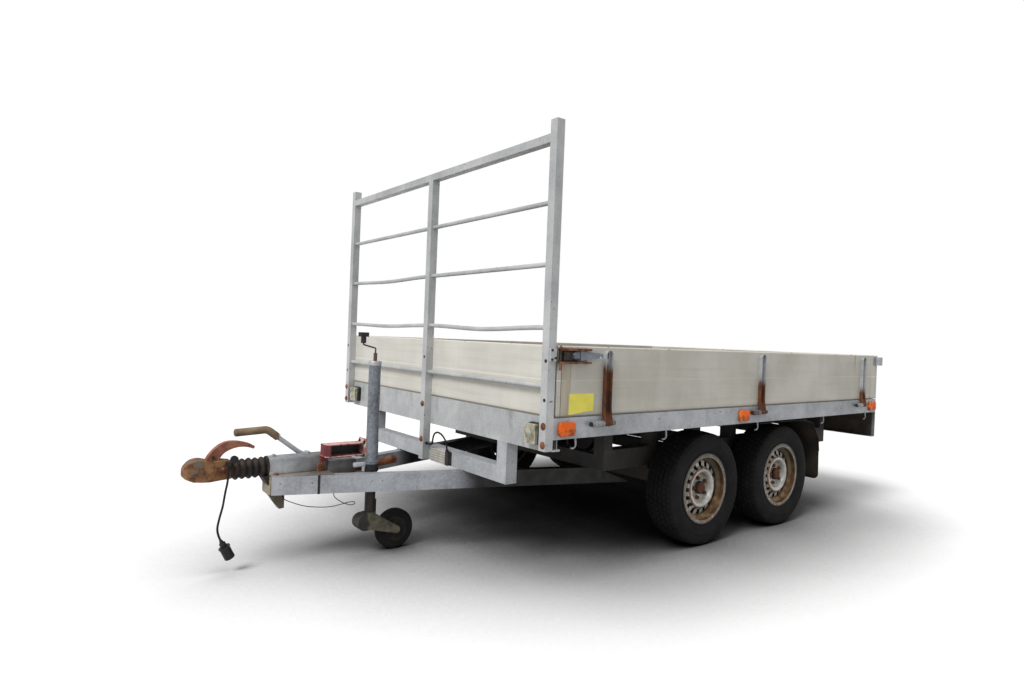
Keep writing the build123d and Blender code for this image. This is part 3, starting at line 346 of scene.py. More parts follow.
def leverSteel(name):
    # zinc tube, its grip worn to the colour of clay
    finish = Finish(name)
    finish.colour = zincColour(finish, zincTones["light"], zincTones["mid"], 0.1, 0.2)
    clay = finish.mottle((112, 92, 72), (142, 122, 98), 18, 4, 0.35, 0.7)
    clay = finish.mix(finish.times(finish.fade("X", 1.80, 1.823), 0.6), clay, (66, 54, 44))
    grip = finish.fade("X", 1.6325, 1.634)
    finish.lay(clay, grip)
    finish.bump((140, 3), 0.0006)
    return finish.set(Metallic=finish.fade(grip, 0, 1, 0.3, 0), Roughness=finish.fade(grip, 0, 1, 0.5, 0.7))


def jackSteel(name):
    # zinc above the drawbar, black below
    finish = Finish(name)
    finish.colour = zincColour(finish, (112, 118, 126), (86, 92, 100), 0.1, 0.4)
    black = finish.mottle((22, 21, 20), (44, 41, 37), 30, 4, 0.4, 0.7)
    finish.lay(black, finish.fade("Z", 0.413, 0.417, 1, 0))
    return zincSurface(finish)


def crankSteel(name):
    # rusty stem, grey rod, black grip
    finish = Finish(name)
    finish.colour = rustColour(finish, 40)
    finish.lay(finish.mottle((86, 84, 80), (58, 56, 54), 40, 3, 0.4, 0.7), finish.fade("Z", 0.9105, 0.9115))
    finish.lay(finish.mottle((20, 20, 21), (34, 33, 33), 24, 3, 0.4, 0.7), finish.fade("Z", 0.9535, 0.9545))
    finish.bump((160, 3), 0.0006)
    return finish.set(Metallic=0.0, Roughness=0.6)


def armPaint(name):
    # red paint rubbed down to pink on its edges, with a painted highlight there and on faces that look up;
    # painted shade makes it black inside
    finish = Finish(name, "red_paint")
    finish.colour = finish.mottle((134, 52, 54), (92, 38, 40), 22, 4, 0.35, 0.65)
    # painted highlight: faces that look up are laid lighter pink
    finish.lay((196, 136, 132), finish.upward(), 0.5)
    # worn paint with a painted highlight: light pink along the top edge and the rims of the hollow
    edges = finish.math("MAXIMUM", finish.fade("Z", 0.5085, 0.5105), finish.band("Z", 0.4550, 0.4590, 0.0006))
    finish.lay((222, 176, 172), finish.times(edges, finish.spots(60, 3, 0.36, 0.5, shift=4)), 0.8)
    # painted shade: the inside of the channel is laid near black
    hollow = finish.times(finish.band("Z", 0.4576, 0.5064, 0.0004), finish.band("Y", 0.0536, 0.1056, 0.0003))
    finish.lay((26, 20, 21), finish.times(hollow, finish.fade("X", 1.4670, 1.4676, 1, 0)))
    finish.bump((120, 4), 0.0008)
    return finish.set(Metallic=0.05, Roughness=0.6)


def flangePaint(name):
    # steel rubbed bare with remains of the arm's paint
    finish = Finish(name, "red_paint")
    finish.colour = finish.mottle((190, 176, 166), (142, 128, 116), 40, 4, 0.4, 0.65)
    finish.lay((164, 78, 80), finish.spots(34, 4, 0.46, 0.58, 0.6, shift=6), 0.8)
    finish.bump((150, 4), 0.0008)
    return finish.set(Metallic=0.1, Roughness=0.6)


def housingSteel(name):
    # bright towards the coupling, darker towards the jockey wheel, with a brown stain low down
    finish = Finish(name)
    finish.colour = zincColour(finish, (192, 194, 197), (134, 137, 141), 0.15, 0.5)
    darkerRear = finish.mottle((118, 119, 120), (78, 78, 78), 12, 5, 0.35, 0.65, 0.6, shift=5)
    finish.lay(darkerRear, finish.fade(finish.ragged("X", 0.16, 9, 4, shift=8), 1.58, 1.68, 0.85, 0.1))
    finish.lay((126, 98, 70), finish.fade(finish.ragged("Z", 0.03, 22, 4), 0.3985, 0.412, 1, 0), 0.45)
    return zincSurface(finish)


def forkMetal(name):
    # grey-green casting, black at its front
    finish = Finish(name)
    finish.colour = finish.mottle((100, 95, 79), (57, 53, 42), 30, 4, 0.35, 0.7)
    finish.lay((32, 30, 27), finish.fade(finish.ragged("X", 0.02, 30, 3), 1.280, 1.290), 0.85)
    finish.bump((140, 4), 0.001, 0.6)
    return finish.set(Metallic=0.15, Roughness=0.62)


def barSteel(name):
    # zinc darkened by painted shade and road dirt where it lies behind the bed, its plain zinc colour at its
    # outer ends
    finish = Finish(name)
    # painted shade with road dirt over the whole bar
    finish.colour = finish.mottle((52, 47, 40), (84, 76, 63), 9, 5, 0.35, 0.7, 0.6)
    plainZinc = zincColour(finish, zincTones["dark"], zincTones["deep"], 0.3, 0.5)
    # its outer ends keep their zinc colour, clear of the painted shade
    finish.lay(plainZinc, finish.sideways(0.945, 0.955))
    finish.bump((120, 4, 0.6), 0.0012, 0.6)
    return finish.set(Metallic=0.1, Roughness=0.8)


def rimPaint(name, centreX):
    # silver ring with slots painted black as shade, brown rust in the well, speckled flange, painted shade
    # over the upper part of the wheel
    finish = Finish(name)
    radius = finish.distance(centreX, wheelRadius)
    finish.colour = finish.mottle((206, 207, 206), (168, 168, 164), 14, 4, 0.35, 0.7)
    finish.lay((150, 128, 92), finish.spots(46, 4, 0.52, 0.68, shift=3), 0.6)
    # above: painted shade, growing over the upper part of the wheel
    above = finish.fade(finish.ragged("Z", 0.08, 12, 3), 0.27, 0.42)
    brown = finish.mottle((88, 62, 36), (132, 108, 74), 20, 5, 0.4, 0.65)
    # the well's rust is darkened towards the top by painted shade
    brown = finish.mix(finish.times(above, 0.75), brown, (56, 49, 34))
    well = finish.band(radius, 0.1385, 0.1625, 0.002)
    finish.lay(brown, finish.times(well, finish.spots(9, 4, 0.24, 0.36, shift=6)))
    nave = finish.times(finish.fade(radius, 0.060, 0.078, 1, 0), finish.spots(26, 4, 0.42, 0.6, shift=9))
    finish.lay((118, 104, 66), nave, 0.8)
    nearRing = finish.times(finish.band(radius, 0.096, 0.106, 0.003), finish.spots(30, 3, 0.38, 0.55))
    finish.lay((140, 92, 50), nearRing, 0.9)
    flange = finish.times(finish.fade(radius, 0.160, 0.166), finish.spots(70, 3, 0.30, 0.50, shift=2))
    finish.lay((100, 80, 54), flange, 0.85)
    shade = finish.mottle((124, 116, 98), (82, 74, 58), 24, 4, 0.38, 0.62, shift=13)
    hollow = finish.fade(radius, 0.072, 0.082, 1, 0)
    finish.lay(shade, finish.times(hollow, finish.math("MULTIPLY_ADD", above, 0.45, 0.35)))
    # painted shade: black slots between the ring's teeth stand in for the dark seen through its holes
    up, along = finish.math("SUBTRACT", "Z", wheelRadius), finish.math("SUBTRACT", "X", centreX)
    turn = finish.times(finish.math("ARCTAN2", up, along), 16)
    ring = finish.band(radius, 0.1035, 0.1385, 0.0008)
    slots = finish.times(finish.fade(finish.math("COSINE", turn), -0.05, 0.15), ring)
    finish.lay((18, 16, 14), slots)
    finish.lay((124, 84, 44), finish.band(radius, 0.0975, 0.1035), 0.8)
    # painted shade on the upper part of the flange
    finish.lay((72, 66, 50), finish.times(finish.fade(radius, 0.1625, 0.1650), finish.times(above, 0.6)))
    finish.lay((40, 37, 32), finish.fade(radius, 0.1755, 0.1775))
    finish.lay((22, 19, 17), finish.sideways(0.8440, 0.8505, 1, 0))
    finish.bump((140, 3), 0.0005)
    return finish.set(Metallic=0.25, Roughness=0.45)


def lensFinish(name, light, deep):
    # clear plastic, dirty in its lower part
    finish = Finish(name, name)
    low = finish.times(finish.fade("Z", 0.650, 0.672, 1, 0), 0.16)
    dirty = finish.fade(finish.math("ADD", finish.noise(40, 4, 0.6), low), 0.56, 0.66)
    finish.colour = finish.mottle(light, deep, 11, 3, 0.4, 0.7)
    finish.lay((70, 40, 18), dirty, 0.6)
    finish.bump((90, 2), 0.0004, 0.4)
    return finish.set(Roughness=0.22, Specular_IOR_Level=0.3)


def frontLampFinish(name):
    # clear lens ahead, olive housing behind it
    finish = Finish(name, "grey_plastic")
    finish.colour = finish.mottle((80, 77, 58), (44, 42, 32), 20, 3, 0.4, 0.65)
    lens = finish.mottle((180, 176, 157), (118, 114, 93), 30, 3, 0.4, 0.65)
    finish.lay(lens, finish.fade("X", 0.9085, 0.9095))
    finish.bump((90, 2), 0.0004, 0.4)
    return finish.set(Roughness=0.35)


def junctionFinish(name):
    # grey ribbed box with a black end, painted shade in stripes along its ribs
    finish = Finish(name)
    finish.colour = finish.mottle((190, 187, 180), (146, 143, 136), 24, 4, 0.4, 0.7)
    # painted shade: darker stripes between the ribs
    finish.lay((112, 100, 88), finish.fade(finish.math("COSINE", finish.times("Z", 520)), -0.2, 0.4), 0.6)
    finish.lay(finish.mottle((26, 26, 26), (48, 46, 44), 24, 4, 0.4, 0.7), finish.fade("Y", 0.2045, 0.2055))
    finish.bump((120, 2), 0.0004, 0.4)
    return finish.set(Roughness=0.55)


def deckFinish(name):
    # brown film-faced board with a fine raised mesh, scuffed by loads
    finish = Finish(name)
    finish.colour = finish.mottle((84, 60, 42), (62, 45, 33), 5, 5, 0.35, 0.7, 0.6)
    finish.lay((142, 122, 98), finish.spots(14, 5, 0.58, 0.72, 0.7, (0.12, 1, 1), 4), 0.5)
    finish.bump(finish.cells(160, "Distance"), 0.0008, 0.6)
    return finish.set(Roughness=0.62)


galvanisedLight = galvanised("galvanised_light", "light", "mid", 0.1, 0.25)
galvanisedGrey = galvanised("galvanised_grey", "mid", "dark", 0.2, 0.35)
postZinc = galvanised("post_zinc", "pale", "paleDark", 0.1, 0.25)
underFinish = underbody("underbody")
strapFinish = strapSteel("strap_steel")
latchFinish = latchSteel("latch_steel")
rustFinish = rusted("rust", (150, 95, 66), (84, 48, 30))
rustDark = rusted("rust_dark", (104, 58, 36), (60, 34, 22))
drumFinish = rusted("drum_dark", (46, 34, 26), (24, 20, 17))
jackFinish = jackSteel("jack_steel")
armFinish = armPaint("arm_paint")
flangeFinish = flangePaint("flange_paint")
rimFinishes = {axle: rimPaint(axle + "_rim_paint", x) for axle, x in wheelPlaces.items()}
tyreFinish = plainFinish("tyre_rubber", "tyre_rubber", (21, 21, 22), (31, 30, 29), 14, 0.85, 0.2)
blackRubber = plainFinish("black_rubber", "black_rubber", (20, 19, 18), (38, 34, 31), 40, 0.75, 0.3)
bellowsRubber = plainFinish("bellows_rubber", "black_rubber", (28, 25, 24), (62, 51, 43), 22, 0.7, 0.3)
blackPlastic = plainFinish("black_plastic", "black_plastic", (20, 20, 21), (32, 32, 32), 50, 0.5, 0.35)
guardFinish = plainFinish("guard_plastic", "dark_steel", (22, 20, 17), (46, 38, 29), 10, 0.75, 0.25)
darkSteel = plainFinish("dark_steel", "dark_steel", (24, 23, 22), (46, 43, 39), 30, 0.6, metal=0.2)
discFinish = plainFinish("disc_steel", "dark_steel", (18, 17, 16), (40, 31, 24), 36, 0.75, 0.3)
platePaint = plainFinish("blank_plate", "grey_plastic", (214, 214, 208), (196, 196, 190), 20, 0.45,
                         depth=0.0002)
labelFinish = plainFinish("label_yellow", "amber_lens", (236, 226, 96), (228, 217, 84), 24, 0.5, depth=0.0002)
amberFinish = lensFinish("amber_lens", (236, 108, 6), (222, 88, 2))
redLens = lensFinish("red_lens", (176, 22, 18), (128, 12, 12))
frontLamp = frontLampFinish("front_lamp")
print("finishes made")

slotFinishes = {
    "galvanised_steel": galvanisedGrey, "rusty_steel": rustFinish, "wheel_paint": rimFinishes["front"],
    "aluminium_board": boardSkin("board_pale", (200, 197, 187), (180, 177, 166)),
    "tyre_rubber": tyreFinish, "dark_steel": darkSteel, "black_rubber": blackRubber,
    "black_plastic": blackPlastic, "red_paint": armFinish, "deck_board": deckFinish("deck_board"),
    "cast_aluminium": forkMetal("cast_metal"), "amber_lens": amberFinish, "red_lens": redLens,
    "grey_plastic": junctionFinish("junction_grey"),
}
nodeFinishes = {
    "drawbar": drawbarSteel("drawbar_steel"), "overrun_housing": housingSteel("housing_zinc"),
    "rack_frame": postZinc, "rack_bars": postZinc,
    "front_sill": galvanised("sill_zinc", "pale", "paleDark", 0.12, 0.6),
    # the front board gets a lighter copy of the board finish: painted light for its brighter lit face
    "front_board": boardSkin("board_front", (216, 213, 204), (202, 199, 190)),
    "light_bar": barSteel("bar_steel"), "left_latch": latchFinish, "right_latch": latchFinish,
    "hinge_pins": galvanised("pin_zinc", "dark", "deep", 0.5, 0.5),
    "coupling_head": headSteel("head_steel"), "brake_lever": leverSteel("lever_steel"),
    "coupling_handle": rusted("handle_rust", (170, 116, 94), (128, 80, 62)), "brake_damper": rustFinish,
    "jockey_tube": jackFinish, "jockey_clamp": jackFinish, "jockey_crank": crankSteel("crank_steel"),
    "mudguards": guardFinish, "front_lamps": frontLamp,
}
for name in ("legs", "chassis_rails", "cross_tubes", "joists", "front_axle", "rear_axle"):
    nodeFinishes[name] = underFinish
for name in ("left_straps", "right_straps", "tail_straps"):
    nodeFinishes[name] = strapFinish
for side in sideNames:
    nodeFinishes[f"rear_{side}_rim"] = rimFinishes["rear"]
    for axle in wheelPlaces:
        nodeFinishes[f"{axle}_{side}_hub"] = drumFinish
for part in frame["record"]["subparts"]:
    finish = nodeFinishes.get(part["node"], slotFinishes[part["material_slot"]])
    for place in nodes[part["node"]].material_slots:
        place.material = finish
print("nodes dressed")


def inScene(name, data):
    made = bpy.data.objects.new(name, data)
    bpy.context.scene.collection.objects.link(made)
    return made


def smooth(mesh, sharp=35):
    mesh.shade_smooth()
    mesh.set_sharp_from_angle(angle=math.radians(sharp))


def plainMesh(made):
    # the mesh that an object's modifiers make
    return bpy.data.meshes.new_from_object(made.evaluated_get(bpy.context.evaluated_depsgraph_get()))


def showForm(name, form, finish, sharp=35):
    bmesh.ops.remove_doubles(form, verts=form.verts, dist=1e-6)
    bmesh.ops.recalc_face_normals(form, faces=form.faces)
    mesh = bpy.data.meshes.new(name)
    form.to_mesh(mesh)
    form.free()
    smooth(mesh, sharp)
    mesh.materials.append(finish)
    return inScene(name, mesh)


def carry(made, finish, *replaced, body="trailer"):
    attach(made, body)
    if replaced:
        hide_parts(*replaced)
    return made


def show(name, form, finish, *replaced, body="trailer"):
    return carry(showForm(name, form, finish), finish, *replaced, body=body)


def facing(centre, direction):
    # places a shape drawn along Z so that it points in a direction
    turn = Vector(direction).to_track_quat("Z", "Y").to_matrix().to_4x4()
    return Matrix.Translation(Vector(centre)) @ turn


def upTo(centre, direction):
    # like facing, with the local Y axis upwards
    out = Vector(direction)
    up = Vector((0, 0, 1))
    return Matrix.Translation(Vector(centre)) @ Matrix((up.cross(out), up, out)).transposed().to_4x4()


def lathe(form, section, place, steps=48, closed=False):
    # turns (along, radius) points about the local Z axis
    rings = []
    turns = [2 * math.pi * k / steps for k in range(steps)]
    for along, radius in section:
        if radius < 1e-6:
            rings.append([form.verts.new(place @ Vector((0, 0, along)))] * steps)
        else:
            rings.append([form.verts.new(place @ Vector((radius * math.cos(a), radius * math.sin(a), along)))
                          for a in turns])
    last = len(rings) if closed else len(rings) - 1
    for one, two in zip(rings[:last], (rings[1:] + rings[:1])[:last]):
        for k in range(steps):
            after = (k + 1) % steps
            corners = list(dict.fromkeys([one[k], one[after], two[after], two[k]]))
            if len(corners) > 2:
                form.faces.new(corners)


def showLathe(name, section, place, steps, finish, *replaced, closed=False, body="trailer"):
    form = bmesh.new()
    lathe(form, section, place, steps, closed)
    return show(name, form, finish, *replaced, body=body)


def prism(form, outline, depth, place, bevel=0.0):
    # a flat outline given a depth along the local Z axis
    low = [form.verts.new(place @ Vector((x, y, 0))) for x, y in outline]
    high = [form.verts.new(place @ Vector((x, y, depth))) for x, y in outline]
    faces = [form.faces.new(low[::-1]), form.faces.new(high)]
    for k in range(len(outline)):
        after = (k + 1) % len(outline)
        faces.append(form.faces.new([low[k], low[after], high[after], high[k]]))
    if bevel:
        edges = {edge for face in faces for edge in face.edges}
        bmesh.ops.bevel(form, geom=list(edges), offset=bevel, segments=2, affect="EDGES", profile=0.5)


def block(form, low, high, bevel):
    outline = [(low[0], low[1]), (high[0], low[1]), (high[0], high[1]), (low[0], high[1])]
    prism(form, outline, high[2] - low[2], Matrix.Translation((0, 0, low[2])), bevel)


def roundedRectangle(width, height, radius, steps=6):
    points = []
    for corner in range(4):
        along = (1, -1, -1, 1)[corner] * (width / 2 - radius)
        up = (1, 1, -1, -1)[corner] * (height / 2 - radius)
        for k in range(steps + 1):
            turn = math.radians(90 * corner + 90 * k / steps)
            points.append((along + radius * math.cos(turn), up + radius * math.sin(turn)))
    return points


class Tree:
    # a Geometry Nodes tree with named inputs

    def __init__(self, name, **sizes):
        self.group = bpy.data.node_groups.new(name, "GeometryNodeTree")
        sockets = self.group.interface
        sockets.new_socket("Geometry", in_out="OUTPUT", socket_type="NodeSocketGeometry")
        sockets.new_socket("Geometry", in_out="INPUT", socket_type="NodeSocketGeometry")
        sockets.new_socket("Finish", in_out="INPUT", socket_type="NodeSocketMaterial")
        kinds = {int: "NodeSocketInt", float: "NodeSocketFloat", tuple: "NodeSocketVector"}
        for label, value in sizes.items():
            made = sockets.new_socket(label, in_out="INPUT", socket_type=kinds[type(value)])
            made.default_value = value
        self.start = self.group.nodes.new("NodeGroupInput").outputs
        self.last = self.group.nodes.new("NodeGroupOutput").inputs

    def add(self, kind, inputs=None, output=0, **settings):
        # one node, of which a single output is used
        made = self.group.nodes.new(kind)
        for key, value in settings.items():
            setattr(made, key, value)
        for key, value in (inputs or {}).items():
            if isinstance(value, bpy.types.NodeSocket):
                self.group.links.new(value, made.inputs[key])
            else:
                made.inputs[key].default_value = value
        return made.outputs[output]

    def math(self, operation, *values):
        return self.add("ShaderNodeMath", dict(enumerate(values)), operation=operation)

    def vector(self, **parts):
        return self.add("ShaderNodeCombineXYZ", parts)

    def copies(self, points, shape, turn):
        inputs = {"Points": points, "Instance": shape, "Rotation": turn}
        return self.add("GeometryNodeInstanceOnPoints", inputs)

    def finish(self, shape):
        whole = self.add("GeometryNodeRealizeInstances", {"Geometry": shape})
        dressed = self.add("GeometryNodeSetMaterial", {"Geometry": whole, "Material": self.start["Finish"]})
        self.group.links.new(dressed, self.last["Geometry"])
        return self.group


def applyTree(made, group, finish, **values):
    modifier = made.modifiers.new(group.name, "NODES")
    modifier.node_group = group
    names = {item.name: item.identifier for item in group.interface.items_tree if item.in_out == "INPUT"}
    for label, value in dict(values, Finish=finish).items():
        modifier[names[label]] = value
    mesh = plainMesh(made)
    made.modifiers.remove(modifier)
    name = made.name
    bpy.data.objects.remove(made)
    smooth(mesh)
    return inScene(name, mesh)


def aroundTree():
    # copies the input shape round an axle that runs along Y
    tree = Tree("aroundAxle", count=8, centre=(0.0, 0.0, 0.0), start=0.0)
    sizes = tree.start
    points = tree.add("GeometryNodePoints", {"Count": sizes["count"], "Position": sizes["centre"]})
    step = tree.math("DIVIDE", 2 * math.pi, sizes["count"])
    angle = tree.math("MULTIPLY_ADD", tree.add("GeometryNodeInputIndex"), step, sizes["start"])
    return tree.finish(tree.copies(points, sizes["Geometry"], tree.vector(Y=angle)))


def fastenerTree():
    # a washer, a head and a dome or thread end on every place, each turned by chance
    tree = Tree("fasteners", sides=6, headRadius=0.008, headHeight=0.006, washerRadius=0.011,
                washerHeight=0.0015, domeRadius=0.005, domeHeight=0.004, seed=3)
    sizes = tree.start

    def disc(radius, height, low, sides):
        inputs = {"Vertices": sides, "Radius": radius, "Depth": height}
        shape = tree.add("GeometryNodeMeshCylinder", inputs, "Mesh")
        lift = tree.vector(Z=tree.math("MULTIPLY_ADD", height, 0.5, low))
        return tree.add("GeometryNodeTransform", {"Geometry": shape, "Translation": lift})

    washer = disc(sizes["washerRadius"], sizes["washerHeight"], 0.0, 20)
    head = disc(sizes["headRadius"], sizes["headHeight"], sizes["washerHeight"], sizes["sides"])
    ball = tree.add("GeometryNodeMeshUVSphere", {"Segments": 14, "Rings": 8, "Radius": 1.0}, "Mesh")
    scale = tree.vector(X=sizes["domeRadius"], Y=sizes["domeRadius"], Z=sizes["domeHeight"])
    lift = tree.vector(Z=tree.math("ADD", sizes["washerHeight"], sizes["headHeight"]))
    dome = tree.add("GeometryNodeTransform", {"Geometry": ball, "Translation": lift, "Scale": scale})
    whole = tree.add("GeometryNodeJoinGeometry")
    for shape in (dome, head, washer):
        tree.group.links.new(shape, whole.node.inputs[0])
    look = tree.add("GeometryNodeInputNamedAttribute", {"Name": "look"}, "Attribute",
                    data_type="FLOAT_VECTOR")
    aim = tree.add("FunctionNodeAlignRotationToVector", {"Vector": look}, axis="Z")
    chance = tree.add("FunctionNodeRandomValue", {"Seed": sizes["seed"]}, 1, data_type="FLOAT")
    spin = tree.vector(Z=tree.math("MULTIPLY", chance, 2 * math.pi))
    turned = tree.add("FunctionNodeRotateRotation", {"Rotation": aim, "Rotate By": spin},
                      rotation_space="LOCAL")
    points = tree.add("GeometryNodeMeshToPoints", {"Mesh": sizes["Geometry"]})
    return tree.finish(tree.copies(points, whole, turned))


def ribbedTree():
    # a ribbed tube along a curve, with four rings to a rib
    tree = Tree("ribbedTube", radius=0.008, ribs=40, ribDepth=0.12)
    sizes = tree.start
    rings = tree.math("MULTIPLY", sizes["ribs"], 4)
    path = tree.add("GeometryNodeResampleCurve", {"Curve": sizes["Geometry"], "Count": rings})
    wave = tree.math("SINE", tree.math("MULTIPLY", tree.add("GeometryNodeInputIndex"), math.pi / 2))
    swell = tree.math("MULTIPLY_ADD", wave, sizes["ribDepth"], 1.0)
    size = tree.math("MULTIPLY", swell, sizes["radius"])
    path = tree.add("GeometryNodeSetCurveRadius", {"Curve": path, "Radius": size})
    ring = tree.add("GeometryNodeCurvePrimitiveCircle", {"Resolution": 14, "Radius": 1.0}, "Curve")
    tube = tree.add("GeometryNodeCurveToMesh", {"Curve": path, "Profile Curve": ring, "Fill Caps": True})
    if "Scale" in tube.node.inputs:
        tree.group.links.new(tree.add("GeometryNodeInputRadius"), tube.node.inputs["Scale"])
    return tree.finish(tube)


around = aroundTree()
fasteners = fastenerTree()
ribbed = ribbedTree()


def fix(name, places, finish, head, dome, washer=(0.0, 0.0015), sides=6, body="trailer"):
    # fasteners on a list of (place, direction); head, dome and washer are (radius, height)
    mesh = bpy.data.meshes.new(name)
    mesh.from_pydata([place for place, look in places], [], [])
    looks = mesh.attributes.new("look", "FLOAT_VECTOR", "POINT")
    for spot, (place, look) in zip(looks.data, places):
        spot.vector = look
    sizes = dict(sides=sides)
    for label, (radius, height) in dict(head=head, dome=dome, washer=washer).items():
        sizes.update({label + "Radius": radius, label + "Height": height})
    return carry(applyTree(inScene(name, mesh), fasteners, finish, **sizes), finish, body=body)


def newCurve(name, radius, resolution):
    curve = bpy.data.curves.new(name, "CURVE")
    curve.dimensions = "3D"
    curve.bevel_depth = radius
    curve.bevel_resolution = resolution
    curve.use_fill_caps = True
    return curve


def addSpline(curve, kind, route):
    spline = curve.splines.new(kind)
    spline.points.add(len(route) - 1)
    for point, place in zip(spline.points, route):
        point.co = (*place, 1)
    return spline


def makeCord(name, route, radius, finish):
    curve = newCurve(name, radius, 4)
    curve.resolution_u = 12
    spline = addSpline(curve, "NURBS", route)
    spline.order_u = 3
    spline.use_endpoint_u = True
    curve.materials.append(finish)
    return inScene(name, curve)


view = dict(
    location=Vector((2.591, 2.8808, 1.0266)),
    yaw=math.radians(232.2573),
    pitch=math.radians(-0.2639),
    roll=math.radians(2.2569),
    focalPixels=643.4,
    framePixels=1024,
)


def makeCamera():
    data = bpy.data.cameras.new("camera")
    data.sensor_width = 36
    data.lens = view["focalPixels"] * data.sensor_width / view["framePixels"]
    data.clip_end = 200
    yaw, pitch, roll = view["yaw"], view["pitch"], view["roll"]
    ahead = Vector((math.cos(yaw) * math.cos(pitch), math.sin(yaw) * math.cos(pitch), math.sin(pitch)))
    right = ahead.cross(Vector((0, 0, 1))).normalized()
    up = right.cross(ahead)
    rightTurned = right * math.cos(roll) + up * math.sin(roll)
    upTurned = up * math.cos(roll) - right * math.sin(roll)
    turn = Matrix((rightTurned, upTurned, -ahead)).transposed()
    made = inScene("camera", data)
    made.matrix_world = Matrix.Translation(view["location"]) @ turn.to_4x4()
    bpy.context.scene.camera = made


makeCamera()

cable = dict(
    radius=0.0045,
    route=[(1.866, 0.048, 0.442), (1.866, 0.048, 0.388), (1.878, 0.051, 0.332), (1.884, 0.051, 0.278),
           (1.897, 0.050, 0.228), (1.906, 0.050, 0.172), (1.889, 0.050, 0.138)],
    length=0.311,
    relief=[(0, 0), (0, 0.0085), (0.004, 0.0085), (0.006, 0.0072), (0.024, 0.0048), (0.024, 0)],
    plug=[(0, 0), (0, 0.0048), (0.002, 0.0062), (0.0135, 0.0088), (0.0145, 0.0122), (0.016, 0.013),
          (0.032, 0.013), (0.0335, 0.0125), (0.034, 0.0235), (0.0346, 0.024), (0.0384, 0.024),
          (0.039, 0.0234), (0.0395, 0.021), (0.052, 0.021), (0.0522, 0.0203), (0.055, 0.0203),
          (0.0552, 0.021), (0.0885, 0.021), (0.090, 0.0195), (0.090, 0.0165), (0.072, 0.0165), (0.072, 0)],
    pin=[(0, 0), (0, 0.0016), (0.014, 0.0016), (0.0152, 0.0008), (0.0152, 0)],
    pinCount=7,
    pinCircle=0.0095,
    pinDepth=0.072,
    lugTurns=[0.6, 3.7],
    lugPlace=(0.0205, 0, 0.056),
    lugSize=(0.005, 0.009, 0.024),
)
start, bend = [Vector(place) for place in cable["route"][:-3:-1]]
plugPlace = facing(start, start - bend)
form = bmesh.new()
lathe(form, cable["plug"], plugPlace, 40)
for k in range(cable["pinCount"]):
    turn = 2 * math.pi * k / cable["pinCount"]
    spot = (cable["pinCircle"] * math.cos(turn), cable["pinCircle"] * math.sin(turn), cable["pinDepth"])
    lathe(form, cable["pin"], plugPlace @ Matrix.Translation(spot), 10)
for turn in cable["lugTurns"]:
    lug = plugPlace @ Matrix.Rotation(turn, 4, "Z") @ Matrix.Translation(cable["lugPlace"])
    prism(form, roundedRectangle(*cable["lugSize"][:2], 0.0015, 3), cable["lugSize"][2], lug, 0.0004)
plugPiece = show("plugBody", form, blackPlastic, "plug")
reliefPlace = facing(cable["route"][0], (0, 0, -1))
relief = showLathe("cableRelief", cable["relief"], reliefPlace, 24, blackRubber)
cord = makeCord("plugCable", cable["route"], cable["radius"], blackRubber)
plugCable = carry(cord, blackRubber, "plug_cable")

wire = dict(
    radius=0.00175,
    route=[(1.640, 0.052, 0.300), (1.640, 0.052, 0.280), (1.604, 0.058, 0.262), (1.550, 0.070, 0.240),
           (1.492, 0.088, 0.232), (1.434, 0.100, 0.229), (1.392, 0.104, 0.236), (1.352, 0.104, 0.242),
           (1.332, 0.117, 0.245), (1.336, 0.140, 0.243), (1.358, 0.150, 0.238), (1.386, 0.138, 0.246),
           (1.412, 0.125, 0.262), (1.433, 0.117, 0.280), (1.433, 0.117, 0.300)],
    length=0.499,
)
cord = makeCord("breakawayWire", wire["route"], wire["radius"], blackRubber)
breakawayWire = carry(cord, blackRubber, "breakaway_wire")
print("camera and cords made")

tyre = dict(
    # half section outside the wheel's middle plane: (out, radius)
    wall=[(0.0700, 0.1653), (0.0700, 0.1845), (0.0735, 0.1880), (0.0768, 0.1925), (0.0790, 0.1975),
          (0.0806, 0.1980), (0.0812, 0.2005), (0.0818, 0.2030), (0.0838, 0.2095), (0.0858, 0.2200),
          (0.0870, 0.2300), (0.0873, 0.2302), (0.0873, 0.2335), (0.0870, 0.2340), (0.0872, 0.2400),
          (0.0866, 0.2500), (0.0854, 0.2590), (0.0838, 0.2650), (0.0832, 0.2652), (0.0812, 0.2712),
          (0.0790, 0.2765), (0.0755, 0.2795)],
    crown=[(0.0700, 0.2795), (0.0400, 0.2815), (0.0, 0.2825)],
    lining=[(0.0540, 0.1653), (0.0700, 0.2100), (0.0740, 0.2400), (0.0640, 0.2680), (0.0, 0.2740)],
    steps=112,
    blockCount=62,
    # rows of tread blocks from the middle outwards: (out, width, radius, height, tilt)
    blockRows=[(0.0128, 0.021, 0.2855, 0.0042, -2), (0.0385, 0.021, 0.2835, 0.0040, -8),
               (0.0645, 0.020, 0.2795, 0.0050, -13)],
    blockLength=0.0245,
    blockShift=0.009,
    blockLean=9,
    blockStart=0.02,
)


